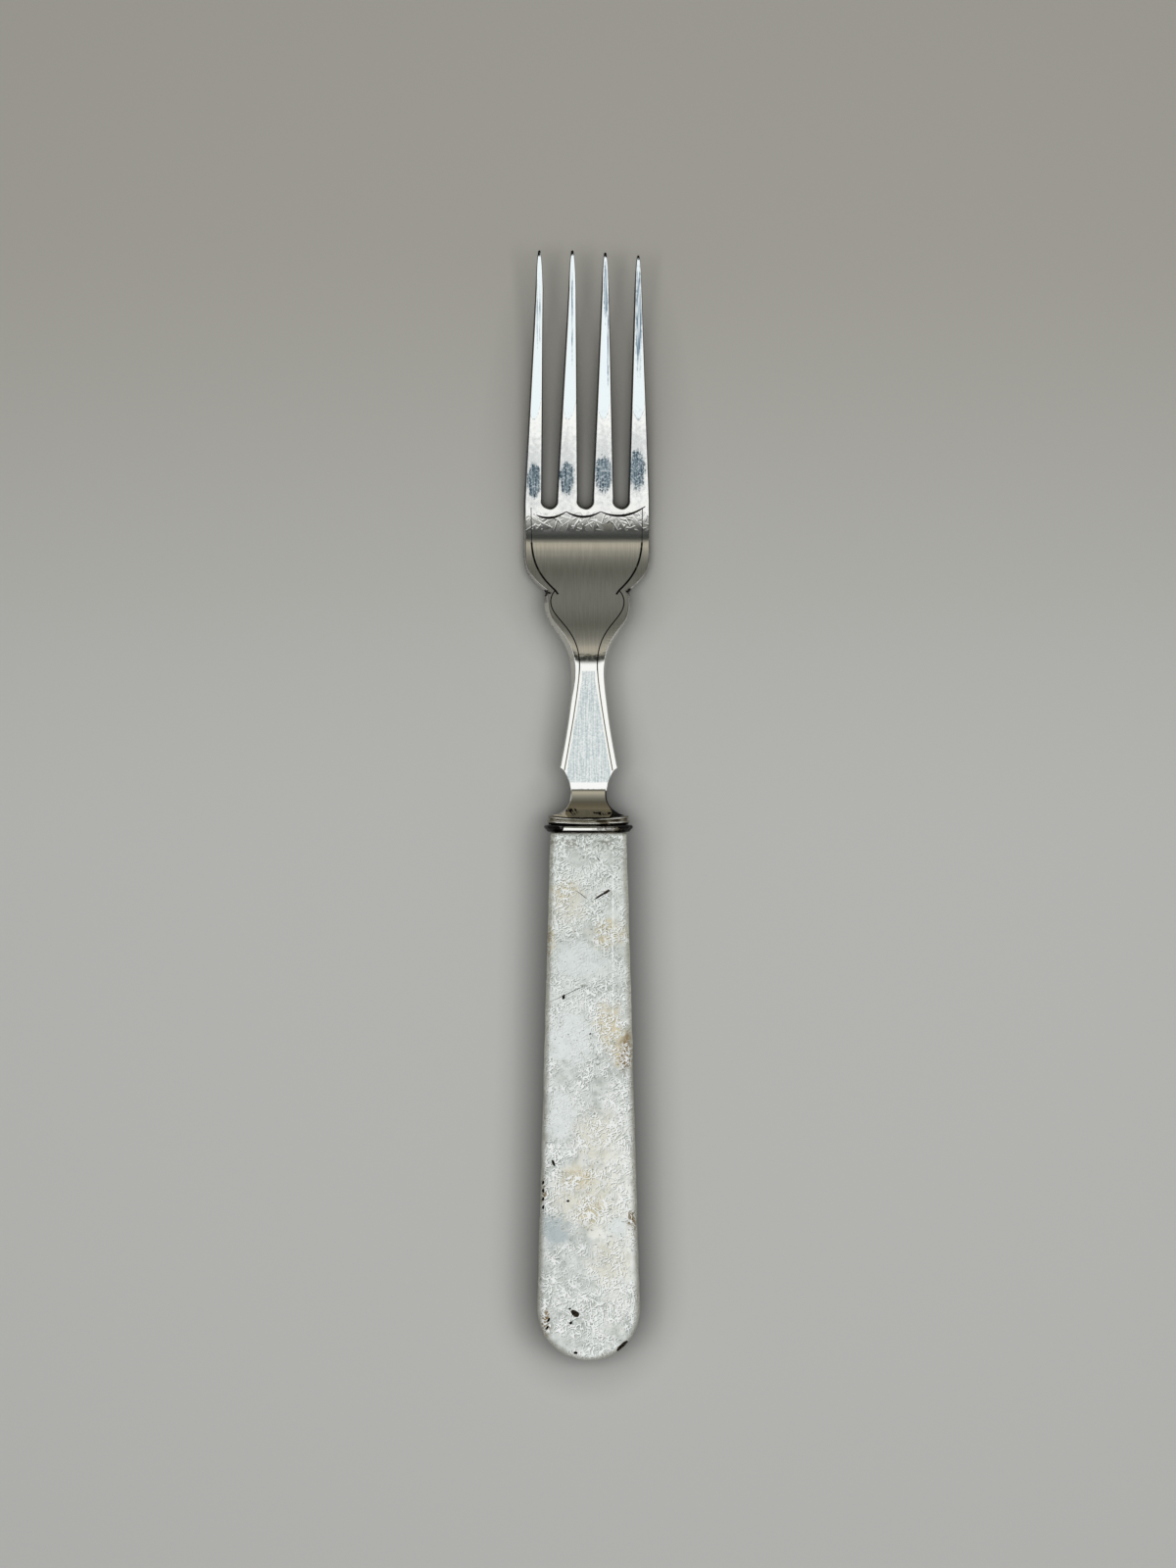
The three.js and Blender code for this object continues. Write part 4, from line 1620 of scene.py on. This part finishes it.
def grime_and_ring_shadow(finish):
    """Grime that gathers at the ring and thins out along the stone, with a painted shadow in a narrow band
    under the ring.
    """
    grains = finish.patches(size=0.55, start=0.5, full=0.6)
    loose = finish.times(finish.rise(finish.y, *NEAR_RING), grains)
    return finish.most(loose, finish.rise(finish.y, *UNDER_RING_SHADOW))


print("patches on the stone:", sum(len(places) for places in ALL_PATCHES))

# %% Finish the stone
STONE_WHITE = srgb(248, 251, 250)
STONE_PALE = srgb(220, 224, 221)
STONE_GREY = srgb(190, 195, 191)
STONE_SHADE = srgb(162, 165, 162)
STONE_CREAM = srgb(220, 219, 207)
STONE_TAN = srgb(210, 202, 176)
STONE_BROWN = srgb(128, 104, 62)
STONE_SMOOTH = srgb(221, 227, 226)
STONE_BLUE = srgb(176, 186, 188)
STONE_EDGE_SHADE = srgb(136, 134, 118)
STONE_SPECK = srgb(104, 105, 90)
STONE_TOP = srgb(247, 248, 247)
STONE_LIT = srgb(240, 241, 233)
STONE_DIM = srgb(230, 232, 231)


def finish_stone():
    finish = Finish(stone)
    beside = finish.vector("ADD", finish.place, SHADOW_SHIFT)
    drifting = finish.wander(finish.place, size=2.5, reach=1.2)
    cream, tan, brown, smooth, blue, lit = [
        spots(finish, places, drifting, softness=0.45, raggedness=0.4, fineness=0.9)
        for places in ALL_PATCHES]
    mottle = finish.patches(size=0.8, start=0.26, full=0.52, detail=4.0)
    rough = finish.minus(1.0, finish.times(finish.most(smooth, blue), 0.65))
    # Painted light: the white lines are partly painted highlights, and their copies a little aside are
    # painted shadows.
    lines = finish.times(crystal_lines(finish, finish.place), rough)
    shadows = finish.times(crystal_lines(finish, beside), rough)
    uneven_rim = finish.plus(to_stone_rim(finish), finish.cloud(finish.place, 2.5, 3.0))
    specks = finish.patches(size=0.42, start=0.68, full=0.73, detail=1.0)
    colour = finish.coats(
        finish.mix(finish.patches(size=3.0, start=0.38, full=0.62, detail=4.0), STONE_GREY, STONE_PALE),
        (finish.times(lit, 0.7), STONE_LIT),
        (smooth, STONE_SMOOTH),
        (blue, STONE_BLUE),
        (cream, STONE_CREAM),
        (finish.times(tan, mottle), STONE_TAN),
        (finish.times(brown, mottle), STONE_BROWN),
        (finish.times(finish.patches(size=1.6, start=0.48, full=0.68), rough), STONE_DIM, "MULTIPLY"),
        (shadows, STONE_SHADE, "MULTIPLY"),
        (finish.times(lines, 0.85), STONE_WHITE),
        # Painted shade: the stone darkens near its outline, where its ground edges turn away.
        (finish.times(finish.rise(uneven_rim, 1.7, 0.5), 0.75), STONE_EDGE_SHADE),
        # Painted highlight along the ridge of the right-hand bevel.
        (finish.times(ridge_highlight(finish), 0.8), STONE_WHITE),
        (finish.rise(finish.y, *TOP_FADE), STONE_TOP, "MULTIPLY"),
        # Dark specks and grime, and a painted shadow right under the ring.
        (finish.times(finish.most(specks, grime_and_ring_shadow(finish)), 0.66), STONE_SPECK))
    finish.feed(base_color=colour, roughness=finish.minus(0.5, finish.times(lines, 0.15)))
    finish.relief((lines, 0.012), (finish.cloud(finish.place, 0.3), 0.012), (specks, -0.02))


finish_stone()
print("stone:", len(stone.node_tree.nodes), "nodes")

# %% Finish the pits
PIT_DARK = srgb(24, 21, 17)
PIT_BROWN = srgb(96, 82, 58)


def finish_pits():
    finish = Finish(pit_dirt, roughness=0.85)
    finish.feed(base_color=finish.mix(finish.patches(size=0.35, start=0.5, full=0.7), PIT_DARK, PIT_BROWN))
    finish.relief((finish.cloud(finish.place, 0.12), 0.03))


finish_pits()
print("pits:", len(pit_dirt.node_tree.nodes), "nodes")

# %% [markdown]
# ## The hidden pieces
# The seat plate, the tang and its cement lie inside the bolster and the stone. They keep their
# shape from the frame and only get a finish: tarnish, forged steel and gritty cement.

# %% Finish the hidden pieces
STEEL_LIGHT = srgb(168, 168, 170)
STEEL_DARK = srgb(96, 92, 88)
CEMENT_LIGHT = srgb(178, 172, 158)
CEMENT_DARK = srgb(132, 126, 112)
PLATE_LIGHT = srgb(150, 146, 134)


def hidden_finish(name, node, colours, grain, height, **even_values):
    """A two-tone finish with a grain and with streaks along the piece; sizes in millimetres."""
    material = bpy.data.materials.new(name)
    finish = Finish(material, **even_values)
    tone = finish.patches(grain, start=0.35, full=0.65, detail=4.0)
    drawn = strokes(finish, 90, length=9.0, width=grain / 3, threshold=0.4, softness=0.3)
    finish.feed(base_color=finish.mix(finish.times(tone, drawn), *colours))
    finish.relief((tone, height), (drawn, height / 3))
    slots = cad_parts[node].data.materials
    slots.clear()
    slots.append(material)


hidden_finish("forged_steel", "tang", (STEEL_DARK, STEEL_LIGHT), grain=1.2, height=0.01,
              metallic=1.0, roughness=0.42)
hidden_finish("gritty_cement", "tang_cement", (CEMENT_DARK, CEMENT_LIGHT), grain=0.7, height=0.05,
              roughness=0.9)
hidden_finish("plate_tarnish", "seat_plate", (TARNISH_AND_SHADE, PLATE_LIGHT), grain=0.9, height=0.01,
              metallic=0.8, roughness=0.45)
print("hidden pieces finished")

# %% [markdown]
# ## Floor, light and camera
# The fork lies on a plain pale floor, seen from straight above. Its looks depend on what the metal
# mirrors: a broad white card overhead towards the handle, a narrow dark gap above the bowl and a
# warm wall beyond the tips. The world draws these as bands, and a wide softbox overhead gives the
# floor its light and the fork soft shadows on both sides. Close to the fork the floor sees little
# of the room, so its paint darkens there.

# %% Lay the floor
FLOOR_HALF = 4.0
# The floor's paint grows darker and warmer towards the tips' end: a painted falloff of light.
FLOOR_NEAR = srgb(181, 182, 179)
FLOOR_FAR = srgb(161, 159, 152)
FLOOR_FADE = (-10.0, 105.0)
CONTACT_REACH = 9 * MM
CONTACT_SHADE = srgb(16, 12, 9)


def finish_floor():
    finish = Finish(floor_paint, roughness=0.85)
    paint = finish.mix(finish.rise(finish.y, *FLOOR_FADE), FLOOR_NEAR, FLOOR_FAR)
    open_sky = finish.add("ShaderNodeAmbientOcclusion", {"Distance": CONTACT_REACH}).outputs["AO"]
    finish.feed(base_color=finish.mix(open_sky, CONTACT_SHADE, paint))
    finish.relief((finish.cloud(finish.place, 0.6), 0.02))


floor_bm = bmesh.new()
bmesh.ops.create_grid(floor_bm, x_segments=1, y_segments=1, size=FLOOR_HALF)
floor = add_object("floor", mesh_from(floor_bm, "floor"))
floor_paint = bpy.data.materials.new("floor_paint")
floor.data.materials.append(floor_paint)
finish_floor()
print("floor laid")

# %% Draw the room that the metal mirrors
DIFFUSE_SHARE = 0.35
SIDE_WALL = (0.04, 0.038, 0.033, 1)
SIDE_WALL_SHARE = 0.8
RIGHT_ANGLE = 90
# Each band: degrees from straight overhead towards the handle, and the colour mirrored there.
BANDS = [(-85, (0.21, 0.205, 0.185)), (-65, (0.155, 0.152, 0.132)), (-48, (0.113, 0.111, 0.092)),
         (-33, (0.16, 0.155, 0.132)), (-22, (0.28, 0.268, 0.224)), (-14, (0.425, 0.39, 0.315)),
         (-10.5, (0.395, 0.37, 0.3)), (-7, (0.1, 0.098, 0.085)), (-5.2, (0.045, 0.047, 0.042)),
         (-1.9, (0.045, 0.048, 0.044)), (-0.9, (0.11, 0.11, 0.104)), (1.2, (0.31, 0.31, 0.298)),
         (2.2, (0.53, 0.53, 0.515)), (4, (1.0, 1.0, 0.985)), (80, (1.0, 1.0, 1.0))]


def bands_ramp(bench, angle):
    """A colour ramp over all angles above the floor, from the tips' side to the handle's."""
    quarter = math.radians(RIGHT_ANGLE)
    ramp = bench.add("ShaderNodeValToRGB", {"Fac": bench.slope(angle, -quarter, quarter)})
    elements = ramp.color_ramp.elements
    while len(elements) < len(BANDS):
        elements.new(0.5)
    for element, (degrees, colour) in zip(elements, BANDS):
        element.position = (degrees + RIGHT_ANGLE) / (2 * RIGHT_ANGLE)
        element.color = (*colour, 1)
    return ramp.outputs["Color"]


def draw_room(world):
    bench = Bench(world.node_tree)
    x, y, z = bench.parts(bench.add("ShaderNodeTexCoord").outputs["Generated"])
    bands = bands_ramp(bench, bench.calculate("ARCTAN2", bench.times(y, -1.0), z))
    sideways = bench.rise(bench.change("ABSOLUTE", x), 0.45, 0.85)
    side_wall = bench.times(sideways, bench.rise(y, 0.0, 0.12), SIDE_WALL_SHARE)
    diffuse = bench.add("ShaderNodeLightPath").outputs["Is Diffuse Ray"]
    background = bench.tree.nodes["Background"]
    bench.tree.links.new(bench.mix(side_wall, bands, SIDE_WALL), background.inputs["Color"])
    bench.tree.links.new(bench.slope(diffuse, 0, 1, 1.0, DIFFUSE_SHARE), background.inputs["Strength"])


scene = bpy.context.scene
scene.view_settings.view_transform = "Standard"
scene.world = bpy.data.worlds.new("studio")
scene.world.use_nodes = True
draw_room(scene.world)
print("bands overhead:", len(BANDS))

# %% Hang the softbox
SOFTBOX_PLACE = (30, -20, 600)
SOFTBOX_SIZE = (0.6, 0.2)
SOFTBOX_ENERGY = 3.2
softbox_light = bpy.data.lights.new("softbox", "AREA")
softbox_light.shape = "RECTANGLE"
softbox_light.size, softbox_light.size_y = SOFTBOX_SIZE
softbox_light.energy = SOFTBOX_ENERGY
softbox = add_object("softbox", softbox_light)
softbox.location = Vector(SOFTBOX_PLACE) * MM
softbox.visible_camera = False
softbox.visible_glossy = False
print("the softbox hangs", SOFTBOX_PLACE[2], "mm above the floor")

# %% [markdown]
# ## The camera
# The camera hangs high above the fork and looks straight down. Its lens follows from the picture: so
# many millimetres for each pixel at the height of the fork's upper edges, over 1600 pixels.

# %% Hang the camera
PIXEL = 0.168
IMAGE_LENGTH = 1600
CAMERA_PLACE = (-0.084, 3.6, 900)
SHARP_HEIGHT = 8.0
SENSOR = 36
camera_data = bpy.data.cameras.new("camera")
camera_data.sensor_width = SENSOR
camera_data.lens = SENSOR * (CAMERA_PLACE[2] - SHARP_HEIGHT) / (IMAGE_LENGTH * PIXEL)
camera = add_object("camera", camera_data)
camera.location = Vector(CAMERA_PLACE) * MM
scene.camera = camera
print(f"lens {camera_data.lens:.1f} mm")
